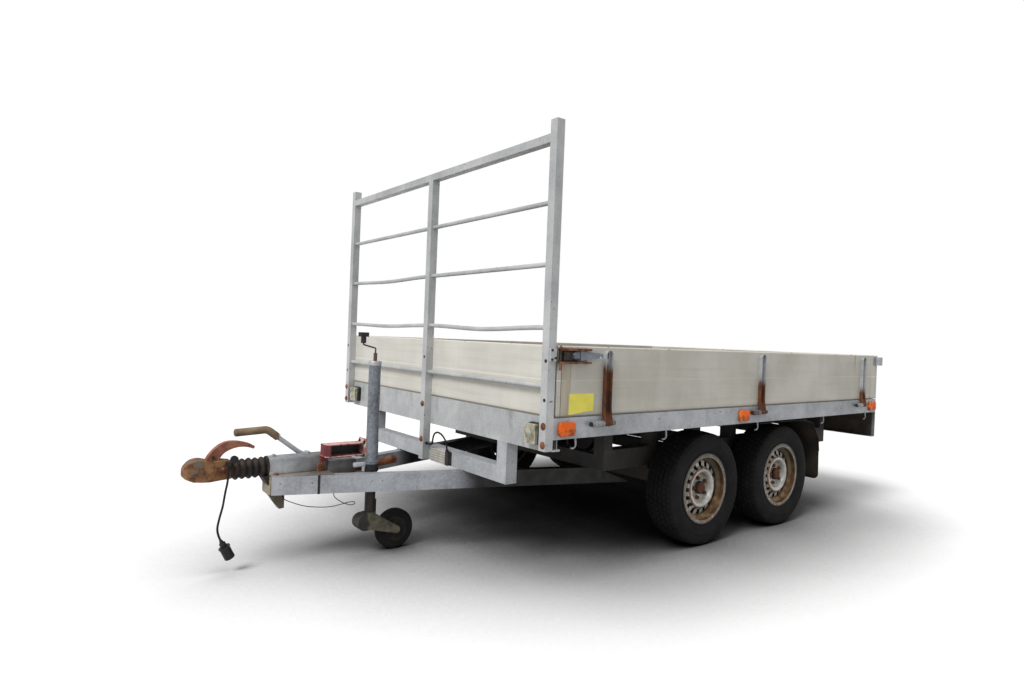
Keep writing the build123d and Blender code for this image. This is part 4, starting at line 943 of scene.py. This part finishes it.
def makeTyre(name, axleX, side, body):
    centre = (axleX, side * wheelOut, wheelRadius)
    outside = tyre["wall"] + tyre["crown"][:-1]
    section = outside + [tyre["crown"][-1]] + [(-out, radius) for out, radius in reversed(outside)]
    inside = tyre["lining"]
    section += [(-out, radius) for out, radius in inside[:-1]] + inside[:0:-1] + [inside[0]]
    showLathe(name + "Tyre", section, facing(centre, (0, 1, 0)), tyre["steps"], tyreFinish,
              body.replace("_wheel", "_tyre"), closed=True, body=body)
    form = bmesh.new()
    rows = [(-out, width, radius, height, -tilt) for out, width, radius, height, tilt in tyre["blockRows"]]
    for row, (out, width, radius, height, tilt) in enumerate(rows[::-1] + tyre["blockRows"]):
        turn = Matrix.Rotation(math.radians(tilt), 4, "X")
        lean = Matrix.Rotation(math.radians(tyre["blockLean"] * (1 if row % 2 else -1)), 4, "Z")
        spot = Matrix.Translation((tyre["blockShift"] * (row % 3 - 1), out, radius - 0.001))
        prism(form, roundedRectangle(tyre["blockLength"], width, 0.003, 1), height, spot @ turn @ lean)
    tread = applyTree(showForm(name + "Tread", form, tyreFinish), around, tyreFinish,
                      count=tyre["blockCount"], centre=centre, start=tyre["blockStart"] * side)
    carry(tread, tyreFinish, body=body)


wheelTrim = dict(
    boltCount=5,
    boltCircle=0.052,
    boltStart=0.3,
    boltSection=[(0.029, 0), (0.029, 0.0125), (0.033, 0.0125), (0.036, 0.0100), (0.036, 0)],
    nutRadius=0.0098,
    nutStart=0.035,
    nutEnd=0.047,
    cap=[(0.0470, 0), (0.0470, 0.0285), (0.0525, 0.0285), (0.0542, 0.0270), (0.0550, 0.0225),
         (0.0562, 0.0190), (0.0562, 0.0060), (0.0550, 0.0040), (0.0550, 0)],
    valvePlace=(0.010, 0.1515, 0.6),
    valveSection=[(0, 0), (0, 0.0055), (0.010, 0.0055), (0.012, 0.0042), (0.030, 0.0040), (0.030, 0.0048),
                  (0.041, 0.0046), (0.042, 0.0036), (0.042, 0)],
)


def trimWheel(name, axleX, side, body):
    centre = (axleX, side * wheelOut, wheelRadius)
    out = (0, side, 0)
    form = bmesh.new()
    one = Matrix.Translation((0, 0, wheelTrim["boltCircle"])) @ facing((0, 0, 0), out)
    lathe(form, wheelTrim["boltSection"], one, 20)
    corners = [k * math.pi / 3 for k in range(6)]
    hexagon = [(wheelTrim["nutRadius"] * math.cos(a), wheelTrim["nutRadius"] * math.sin(a)) for a in corners]
    nutPlace = one @ Matrix.Translation((0, 0, wheelTrim["nutStart"]))
    prism(form, hexagon, wheelTrim["nutEnd"] - wheelTrim["nutStart"], nutPlace, 0.0008)
    bolts = applyTree(showForm(name + "Bolts", form, rustDark), around, rustDark,
                      count=wheelTrim["boltCount"], centre=centre, start=wheelTrim["boltStart"])
    carry(bolts, rustDark, body=body)
    showLathe(name + "Cap", wheelTrim["cap"], facing(centre, out), 40, rustDark, body=body)
    inward, radius, turn = wheelTrim["valvePlace"]
    spot = Vector(centre) + Vector((radius * math.cos(turn), side * inward, radius * math.sin(turn)))
    showLathe(name + "Valve", wheelTrim["valveSection"], facing(spot, out), 14, blackRubber, body=body)


for axle, axleX in wheelPlaces.items():
    for sideName, side in sideNames.items():
        makeTyre(axle + sideName.title(), axleX, side, f"{axle}_{sideName}_wheel")
        trimWheel(axle + sideName.title(), axleX, side, f"{axle}_{sideName}_wheel")
print("wheels made")

bellows = dict(
    start=1.6963,
    length=0.1554,
    height=0.418,
    bore=0.025,
    ridges=5,
    ridge=0.046,
    valley=0.0345,
    steps=56,
    collar=0.006,
    margin=0.010,
    ridgeSamples=12,
    ridgeRound=0.6,
    endCollar=0.007,
    endRadius=0.037,
    skirt=[(1.6963, 0.384), (1.6963, 0.3400), (1.7020, 0.3470), (1.7223, 0.3800), (1.7223, 0.384)],
    skirtHalf=0.040,
)


def makeBellows():
    # round ridges on a tube, a collar at each end and a flap below the first one
    length, ridges = bellows["length"], bellows["ridges"]
    valley = bellows["valley"]
    section = [(0, bellows["bore"]), (0, bellows["ridge"]), (bellows["collar"], bellows["ridge"])]
    first, last = bellows["margin"], length - bellows["margin"]
    samples = ridges * bellows["ridgeSamples"]
    for k in range(samples + 1):
        share = k / samples
        swell = (0.5 - 0.5 * math.cos(2 * math.pi * ridges * share)) ** bellows["ridgeRound"]
        top = bellows["ridge"] - 0.0012 * (int(share * ridges) % 2) - 0.001
        section.append((first + share * (last - first), valley + (top - valley) * swell))
    end = bellows["endRadius"]
    section += [(length - bellows["endCollar"], end), (length, end), (length, bellows["bore"])]
    form = bmesh.new()
    place = facing((bellows["start"], 0, bellows["height"]), (1, 0, 0))
    lathe(form, section, place, bellows["steps"], closed=True)
    turn = Matrix(((1, 0, 0, 0), (0, 0, -1, bellows["skirtHalf"]), (0, 1, 0, 0), (0, 0, 0, 1)))
    prism(form, bellows["skirt"], 2 * bellows["skirtHalf"], turn, 0.002)
    show("bellowsRubber", form, bellowsRubber, "bellows")


makeBellows()

couplingTrim = dict(
    pinSection=[(-0.021, 0), (-0.021, 0.0065), (0.021, 0.0065), (0.021, 0)],
    pinPlace=(1.921, 0, 0.478),
    topBolts=[(1.668, 0.0, 0.460), (1.514, 0.0, 0.460)],
    baseBolts=[(1.668, 0.0485, 0.386), (1.668, -0.0485, 0.386)],
    neckBolts=[(1.884, 0.0285), (1.912, 0.0328)],
    neckHeight=0.430,
    bracketLow=(1.452, 0.0415, 0.386),
    bracketHigh=(1.486, 0.0560, 0.424),
)
showLathe("handlePin", couplingTrim["pinSection"], facing(couplingTrim["pinPlace"], (0, 1, 0)), 20, darkSteel)
form = bmesh.new()
block(form, couplingTrim["bracketLow"], couplingTrim["bracketHigh"], 0.003)
show("housingBracket", form, rustFinish)
fix("housingBolts", [(place, (0, 0, 1)) for place in couplingTrim["topBolts"]], galvanisedGrey,
    head=(0.0095, 0.007), dome=(0.005, 0.004), washer=(0.014, 0.0015))
neck = [((x, side * y, couplingTrim["neckHeight"]), (0, side, 0)) for x, y in couplingTrim["neckBolts"]
        for side in (1, -1)]
fix("couplingBolts", neck + [(place, (0, 0, 1)) for place in couplingTrim["baseBolts"]], rustFinish,
    head=(0.0085, 0.006), dome=(0.005, 0.004))
print("coupling dressed")

rack = dict(
    postY=0.952,
    bolts=[0.679, 0.604],
    plugs=[0.939, 0.783],
    middleBolts=[0.671, 0.490],
    middlePlugs=[0.911],
)


def onPosts(outer, middle):
    # places on the front faces of the two posts and of the middle post
    spots = [(side * rack["postY"], z) for side in (1, -1) for z in outer] + [(0, z) for z in middle]
    return [((postFront, y, z), (1, 0, 0)) for y, z in spots]


fix("postBolts", onPosts(rack["bolts"], rack["middleBolts"]), rustFinish, sides=24,
    head=(0.0125, 0.001), dome=(0.0115, 0.0065), washer=(0.0150, 0.0016))
fix("postPlugs", onPosts(rack["plugs"], rack["middlePlugs"]), blackPlastic, sides=20,
    head=(0.0062, 0.0005), dome=(0.004, 0.0006), washer=(0.0075, 0.0006))

boards = dict(
    strapPlaces=[0.594, -0.592, -1.779],
    tailPlaces=[-0.560, 0.560],
    strapFace=0.003,
    holeHeight=0.758,
    slotHeight=0.965,
    slotSize=(0.0092, 0.0300),
    slotSunk=0.0022,
    slotProud=0.0002,
    latchBolts=[(0.800, 0.980, 0.970), (0.655, 0.986, 0.956)],
    keeperBolts=[(0.914, 0.983), (0.896, 0.952), (0.914, 0.946)],
    keeperFace=0.976,
    label=[(0.666, 0.734), (0.690, 0.7335), (0.720, 0.7310), (0.752, 0.7270), (0.782, 0.7235),
           (0.806, 0.7225), (0.804, 0.807), (0.666, 0.807)],
    labelThick=0.0005,
    nutAhead=0.0935,
    nutBehind=0.0305,
    pinOut=0.985,
    pinHeight=0.680,
)


def dressStraps(name, body, places, out):
    # a rubber plug low on each strap and a slot near its top
    fix(name + "StrapPlugs", [((x, y, boards["holeHeight"]), out) for x, y in places], blackRubber,
        head=(0.0042, 0.0004), dome=(0.003, 0.0004), sides=16, body=body)
    width, height = boards["slotSize"]
    form = bmesh.new()
    for x, y in places:
        spot = Vector((x, y, boards["slotHeight"])) - boards["slotSunk"] * Vector(out)
        outline = roundedRectangle(width, height, width / 2 - 0.0001)
        prism(form, outline, boards["slotSunk"] + boards["slotProud"], upTo(spot, out))
    show(name + "StrapSlots", form, blackRubber, body=body)


for sideName, side in sideNames.items():
    out = (0, side, 0)
    strapY = side * (bedHalf + boards["strapFace"])
    dressStraps(sideName, sideName + "_board", [(x, strapY) for x in boards["strapPlaces"]], out)
    spots = [((x, side * y, z), out) for x, y, z in boards["latchBolts"]]
    fix(sideName + "LatchRivets", spots, galvanisedLight,
        head=(0.0045, 0.0005), dome=(0.0045, 0.003), sides=16, body=sideName + "_board")
spots = [((x, side * boards["keeperFace"], z), (0, side, 0))
         for x, z in boards["keeperBolts"] for side in (1, -1)]
fix("keeperBolts", spots, darkSteel, head=(0.0055, 0.003), dome=(0.003, 0.002))
spots = []
for side in (1, -1):
    for x in boards["strapPlaces"]:
        for end, way in ((x + boards["nutAhead"], 1), (x - boards["nutBehind"], -1)):
            spots.append(((end, side * boards["pinOut"], boards["pinHeight"]), (way, 0, 0)))
fix("hingeNuts", spots, darkSteel, head=(0.0105, 0.007), dome=(0.0055, 0.008))
tailFace = bedRear - boards["strapFace"]
dressStraps("tail", "tailboard", [(tailFace, y) for y in boards["tailPlaces"]], (-1, 0, 0))
form = bmesh.new()
labelPlace = Matrix(((1, 0, 0, 0), (0, 0, 1, bedHalf - 0.0001), (0, 1, 0, 0), (0, 0, 0, 1)))
prism(form, boards["label"], boards["labelThick"], labelPlace)
show("blankLabel", form, labelFinish, body="left_board")
print("rack and boards dressed")

lamps = dict(
    sidePlaces=[0.8185, -0.4385, -1.9285],
    sideHeight=0.6655,
    sideSize=(0.085, 0.056, 0.016),
    frontY=0.865,
    frontHeight=0.640,
    frontSize=(0.072, 0.080, 0.038),
    rearY=0.750,
    rearHeight=0.552,
    rearSize=(0.210, 0.092, 0.026),
    bezel=0.0035,
    rib=0.0012,
    baseShare=0.34,
    ribPitch=0.009,
    ribWide=0.0026,
    ribShort=0.014,
    ribMargin=0.020,
    ribSunk=0.0006,
    sideRibPitch=0.00855,
    sideRibWide=0.0022,
    sideRibShort=0.016,
    sideRibSunk=0.0004,
)


def lampTrim(trim, ribs, place, size):
    # a black base round the lens and fine ribs on its face
    width, height, depth = size
    bezel = lamps["bezel"]
    outline = roundedRectangle(width + 2 * bezel, height + 2 * bezel, 0.008 + bezel)
    prism(trim, outline, depth * lamps["baseShare"], place, 0.001)
    outline = roundedRectangle(lamps["ribWide"], height - lamps["ribShort"], 0.0012, 2)
    count = int((width - lamps["ribMargin"]) / lamps["ribPitch"])
    for k in range(count + 1):
        shift = Matrix.Translation(((k - count / 2) * lamps["ribPitch"], 0, depth - lamps["ribSunk"]))
        prism(ribs, outline, lamps["rib"], place @ shift)


trim, lens = bmesh.new(), bmesh.new()
width, height, depth = lamps["sideSize"]
sideRib = roundedRectangle(lamps["sideRibWide"], height - lamps["sideRibShort"], 0.0010, 2)
for side in (1, -1):
    for x in lamps["sidePlaces"]:
        place = upTo((x, side * bedHalf, lamps["sideHeight"]), (0, side, 0))
        prism(trim, roundedRectangle(width - 0.004, height - 0.004, 0.010), 0.004, place)
        raised = place @ Matrix.Translation((0, 0, 0.003))
        prism(lens, roundedRectangle(width, height, 0.011), depth - 0.003, raised, 0.0025)
        for k in range(-3, 4):
            shift = Matrix.Translation((k * lamps["sideRibPitch"], 0, depth - lamps["sideRibSunk"]))
            prism(lens, sideRib, lamps["rib"], place @ shift)
show("sideLenses", lens, amberFinish, "side_lamps")
for end, x, way, finish in (("front", bedFront, 1, frontLamp), ("rear", bedRear, -1, redLens)):
    ribs = bmesh.new()
    for side in (1, -1):
        place = upTo((x, side * lamps[end + "Y"], lamps[end + "Height"]), (way, 0, 0))
        lampTrim(trim, ribs, place, lamps[end + "Size"])
    show(end + "LampRibs", ribs, finish)
show("lampBases", trim, blackPlastic)

rear = dict(
    plate=(0.520, 0.110, 0.003),
    plateHeight=0.545,
    reflectorY=0.420,
    reflectorHeight=0.530,
    reflectorSide=0.150,
    reflectorDepth=0.007,
)
form = bmesh.new()
width, height, depth = rear["plate"]
place = upTo((bedRear, 0, rear["plateHeight"]), (-1, 0, 0))
prism(form, roundedRectangle(width, height, 0.008), depth, place, 0.0008)
show("blankPlate", form, platePaint)
form = bmesh.new()
reach = rear["reflectorSide"] / math.sqrt(3)
corners = [math.radians(90 + 120 * k) for k in range(3)]
triangle = [(reach * math.cos(a), reach * math.sin(a)) for a in corners]
for side in (1, -1):
    place = upTo((bedRear, side * rear["reflectorY"], rear["reflectorHeight"]), (-1, 0, 0))
    prism(form, triangle, rear["reflectorDepth"], place, 0.003)
show("rearReflectors", form, redLens)
print("lamps made")

conduit = dict(
    route=[(0.905, 0.0205, 0.470), (0.905, 0.058, 0.470), (0.912, 0.090, 0.474), (0.917, 0.100, 0.495),
           (0.918, 0.112, 0.530), (0.918, 0.145, 0.545), (0.915, 0.182, 0.537), (0.905, 0.203, 0.510),
           (0.897, 0.204, 0.480), (0.896, 0.204, 0.450)],
    radius=0.0042,
    ribs=60,
    gland=[(0, 0), (0, 0.0085), (0.004, 0.0085), (0.006, 0.0068), (0.011, 0.0058), (0.011, 0)],
    glandPlaces=[((0.905, 0.0195, 0.470), (0, 1, 0)), ((0.896, 0.204, 0.4555), (0, 0, 1))],
)
line = makeCord("wiringConduit", conduit["route"], 0, blackRubber)
carry(applyTree(line, ribbed, blackRubber, radius=conduit["radius"], ribs=conduit["ribs"]), blackRubber)
form = bmesh.new()
for spot, up in conduit["glandPlaces"]:
    lathe(form, conduit["gland"], facing(spot, up), 12)
show("conduitGlands", form, blackPlastic)

tie = dict(
    x=1.495,
    width=0.010,
    thick=0.0016,
    beam=(0.050, 0.080),
    beamSlope=0.343,
    beamTip=(1.690, 0.055),
    beamInset=0.02645,
    beamHeight=0.340,
)


def makeTie():
    # a strap round the left drawbar beam, square to it
    slope, thick = tie["beamSlope"], tie["thick"]
    wide, tall = tie["beam"]
    lean = math.hypot(1, slope)
    outward = Vector((slope / lean, 1 / lean, 0))
    up = Vector((0, 0, 1))
    along = outward.cross(up)
    tipX, tipY = tie["beamTip"]
    middle = Vector((tie["x"], tipY + (tipX - tie["x"]) * slope - tie["beamInset"], tie["beamHeight"]))
    turn = Matrix((outward, up, along)).transposed().to_4x4()
    place = Matrix.Translation(middle - along * tie["width"] / 2) @ turn
    outer = roundedRectangle(wide + 2 * thick, tall + 2 * thick, 0.003, 3)
    inner = roundedRectangle(wide, tall, 0.0012, 3)
    form = bmesh.new()
    rings = [[form.verts.new(place @ Vector((a, b, z))) for a, b in outline]
             for outline, z in ((outer, 0), (outer, tie["width"]), (inner, tie["width"]), (inner, 0))]
    for one, two in zip(rings, rings[1:] + rings[:1]):
        for k in range(len(outer)):
            after = (k + 1) % len(outer)
            form.faces.new([one[k], one[after], two[after], two[k]])
    show("beamTie", form, blackPlastic)


makeTie()

jockey = dict(
    axleX=1.126,
    axleHeight=0.0935,
    halfWidth=0.0225,
    disc=[(-0.001, 0.0085), (0.0018, 0.0085), (0.0030, 0.012), (0.0030, 0.020), (0.0012, 0.023),
          (0.0012, 0.050), (0.0026, 0.053), (0.0026, 0.058), (-0.001, 0.060)],
    cap=[(0.872, 0.0270), (0.872, 0.0300), (0.888, 0.0300), (0.8925, 0.0270), (0.8925, 0.0090),
         (0.8905, 0.0090), (0.8905, 0.0270)],
)
wheelLow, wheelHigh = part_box("jockey_wheel")
tubeLow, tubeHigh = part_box("jockey_tube")
jockeyY = (wheelLow[1] + wheelHigh[1]) / 2
jockeyX = (tubeLow[0] + tubeHigh[0]) / 2
tubePlace = facing((jockeyX, jockeyY, 0), (0, 0, 1))
form = bmesh.new()
for side in (1, -1):
    centre = (jockey["axleX"], jockeyY + side * jockey["halfWidth"], jockey["axleHeight"])
    lathe(form, jockey["disc"], facing(centre, (0, side, 0)), 48, closed=True)
show("jockeyDiscs", form, discFinish, body="jockey_wheel")
showLathe("jockeyCap", jockey["cap"], tubePlace, 36, galvanisedGrey, closed=True)

clamp = dict(
    collar=[(0.380, 0.0279), (0.380, 0.0330), (0.4225, 0.0330), (0.4245, 0.0345), (0.4285, 0.0345),
            (0.4300, 0.0325), (0.4300, 0.0279)],
    sleeve=[(0.4300, 0.0279), (0.4300, 0.0292), (0.5250, 0.0292), (0.5260, 0.0279)],
    flangeLow=(1.2815, 0.0500, 0.4410),
    flangeHigh=(1.2910, 0.1240, 0.5300),
    leverLow=(1.284, 0.110, 0.404),
    leverHigh=(1.344, 0.128, 0.424),
    pivot=[(-0.012, 0), (-0.012, 0.008), (0.024, 0.008), (0.026, 0.006), (0.026, 0)],
    pivotX=1.294,
    pivotHeight=0.394,
    boltSpots=[(0.064, 0.516), (0.064, 0.455), (0.116, 0.516), (0.116, 0.455)],
)
form = bmesh.new()
lathe(form, clamp["collar"], tubePlace, 40, closed=True)
lathe(form, clamp["sleeve"], tubePlace, 40, closed=True)
show("clampCollar", form, jackFinish, "jockey_clamp")
form = bmesh.new()
block(form, clamp["flangeLow"], clamp["flangeHigh"], 0.002)
show("clampFlange", form, flangeFinish)
form = bmesh.new()
block(form, clamp["leverLow"], clamp["leverHigh"], 0.004)
lathe(form, clamp["pivot"], facing((clamp["pivotX"], jockeyY, clamp["pivotHeight"]), (0, 0, 1)), 16)
show("clampLever", form, galvanisedLight)
fix("clampBolts", [((clamp["flangeHigh"][0], y, z), (1, 0, 0)) for y, z in clamp["boltSpots"]], darkSteel,
    head=(0.006, 0.004), dome=(0.003, 0.003), washer=(0.008, 0.0015))

arm = dict(
    rear=1.2905,
    front=1.474,
    inner=0.048,
    outer=0.112,
    corner=0.025,
    wall=0.006,
    low=0.4515,
    high=0.5120,
    plate=0.0060,
    inset=0.001,
    footLow=(1.438, 0.0415, 0.4300),
    footHigh=(1.474, 0.0520, 0.4560),
)


def makeArm():
    # a channel open to the left: two plates with a wall round their inner side and front corner
    back, front, inner, outer = arm["rear"], arm["front"], arm["inner"], arm["outer"]
    corner, wall = arm["corner"], arm["wall"]

    def bend(radius):
        turns = [math.radians(90 * k / 8) for k in range(9)]
        return [(front - corner + radius * math.cos(t), outer - corner + radius * math.sin(t)) for t in turns]

    start = [(back, inner), (front, inner)] + bend(corner)
    band = start + bend(corner - wall)[::-1] + [(front - wall, inner + wall), (back, inner + wall)]
    form = bmesh.new()
    for low in (arm["low"], arm["high"] - arm["plate"]):
        prism(form, start + [(back, outer)], arm["plate"], Matrix.Translation((0, 0, low)), 0.0012)
    wallLow, wallHigh = arm["low"] + arm["inset"], arm["high"] - arm["inset"]
    prism(form, band, wallHigh - wallLow, Matrix.Translation((0, 0, wallLow)))
    block(form, arm["footLow"], arm["footHigh"], 0.002)
    show("clampArmShell", form, armFinish, "clamp_arm")


makeArm()

deck = dict(
    rows=[0.83, 0.55, 0.20, -0.14, -0.50, -0.85, -1.20, -1.55, -1.95],
    across=[-0.88, -0.60, -0.30, 0.0, 0.30, 0.60, 0.88],
    top=0.711,
)
fix("deckScrews", [((x, y, deck["top"]), (0, 0, 1)) for x in deck["rows"] for y in deck["across"]],
    galvanisedGrey, head=(0.0, 0.0), dome=(0.0055, 0.0012), washer=(0.0075, 0.0008), sides=14)

guards = dict(
    folds=[(-0.690, 0.603), (-1.190, 0.603), (-1.285, 0.575), (-1.360, 0.478), (-1.372, 0.400),
           (-1.376, 0.224)],
    inner=0.670,
    outer=0.908,
    thick=0.003,
    round=0.030,
    lipRadius=0.0035,
)


def makeGuards():
    # a folded sheet over and behind the rear wheel of each side, with rounded lower corners
    form = bmesh.new()
    folds, inner, outer, bend = guards["folds"], guards["inner"], guards["outer"], guards["round"]
    lastX, lastZ = folds[-1]
    for side in (1, -1):
        rows = [[(x, y, z) for y in (inner, outer)] for x, z in folds[:-1]]
        for k in range(5):
            turn = math.radians(22.5 * k)
            drop = lastZ + bend * (1 - math.sin(turn))
            pull = bend * (1 - math.cos(turn))
            rows.append([(lastX, inner + pull, drop), (lastX, outer - pull, drop)])
        corners = [[form.verts.new((x, side * y, z)) for x, y, z in row] for row in rows]
        for one, two in zip(corners, corners[1:]):
            form.faces.new([one[0], one[1], two[1], two[0]])
    made = showForm("guardSheets", form, guardFinish, 25)
    sheet = made.modifiers.new("thickness", "SOLIDIFY")
    sheet.thickness = guards["thick"]
    sheet.offset = 0
    mesh = plainMesh(made)
    made.modifiers.remove(sheet)
    made.data = mesh
    carry(made, guardFinish, "mudguards")


def makeLips():
    # rolled outer edges of the guards
    curve = newCurve("guardLips", guards["lipRadius"], 2)
    for side in (1, -1):
        addSpline(curve, "POLY", [(x, side * guards["outer"], z) for x, z in guards["folds"][:-1]])
    made = inScene("guardLips", curve)
    mesh = bpy.data.meshes.new_from_object(made)
    bpy.data.objects.remove(made)
    smooth(mesh)
    mesh.materials.append(guardFinish)
    carry(inScene("guardLips", mesh), guardFinish)


makeGuards()
makeLips()
print("small pieces made")

stage = dict(
    floorSize=60,
    fadeStart=3.2,
    fadeEnd=6.5,
    worldStrength=0.60,
    keyStrength=2.5,
    keyAngle=24,
    keyDirection=(-0.95, -0.22, -1.0),
    # reach, strength and samples of the painted shadow that ambient occlusion lays on the floor
    shadowReach=1.0,
    shadowDepth=2.4,
    shadowSamples=16,
)


def makeFloor():
    mesh = bpy.data.meshes.new("floor")
    half = stage["floorSize"] / 2
    corners = [(-half, -half, 0), (half, -half, 0), (half, half, 0), (-half, half, 0)]
    mesh.from_pydata(corners, [], [(0, 1, 2, 3)])
    finish = Finish("floor_pale")
    rays = finish.node("ShaderNodeLightPath").outputs
    seen = finish.math("MAXIMUM", rays["Is Camera Ray"], rays["Is Glossy Ray"])
    # painted shadow: ambient occlusion darkens the floor as the camera sees it, under and around the trailer
    hollow = finish.node("ShaderNodeAmbientOcclusion", samples=stage["shadowSamples"])
    hollow.inputs["Distance"].default_value = stage["shadowReach"]
    depth = finish.math("POWER", hollow.outputs["AO"], stage["shadowDepth"])
    pale = finish.mix(depth, (0.0, 0.0, 0.0, 1), (0.98, 0.98, 0.98, 1))
    finish.colour = finish.mix(seen, (0.40, 0.40, 0.40, 1), pale)
    finish.set(Roughness=1.0, Specular_IOR_Level=0.0)
    distance = finish.node("ShaderNodeVectorMath", operation="LENGTH")
    finish.link(finish.place, distance.inputs[0])
    far = finish.fade(distance.outputs["Value"], stage["fadeStart"], stage["fadeEnd"])
    blend = finish.node("ShaderNodeMixShader")
    white = finish.node("ShaderNodeEmission").outputs[0]
    for target, value in zip(blend.inputs, (finish.times(far, seen), finish.shader.outputs[0], white)):
        finish.link(value, target)
    finish.link(blend.outputs[0], finish.output)
    mesh.materials.append(finish.material)
    inScene("floorPlane", mesh)


def makeWorld():
    world = bpy.data.worlds.new("studio")
    bpy.context.scene.world = world
    world.use_nodes = True
    tree = world.node_tree
    tree.nodes.clear()
    rays, seen, strength, background, output = [tree.nodes.new("ShaderNode" + kind) for kind in
                                                ("LightPath", "Math", "Mix", "Background", "OutputWorld")]
    seen.operation = "MAXIMUM"
    strength.inputs[2].default_value = stage["worldStrength"]
    strength.inputs[3].default_value = 1
    background.inputs["Color"].default_value = (1, 1, 1, 1)
    tree.links.new(rays.outputs["Is Camera Ray"], seen.inputs[0])
    tree.links.new(rays.outputs["Is Transmission Ray"], seen.inputs[1])
    tree.links.new(seen.outputs[0], strength.inputs[0])
    tree.links.new(strength.outputs[0], background.inputs["Strength"])
    tree.links.new(background.outputs[0], output.inputs["Surface"])


def makeSun():
    light = bpy.data.lights.new("key", "SUN")
    light.energy = stage["keyStrength"]
    light.angle = math.radians(stage["keyAngle"])
    made = inScene("key", light)
    made.rotation_euler = Vector(stage["keyDirection"]).to_track_quat("-Z", "Y").to_euler()


makeFloor()
makeWorld()
makeSun()
bpy.context.scene.view_settings.view_transform = "Standard"
print("stage made")

bpy.context.view_layer.update()
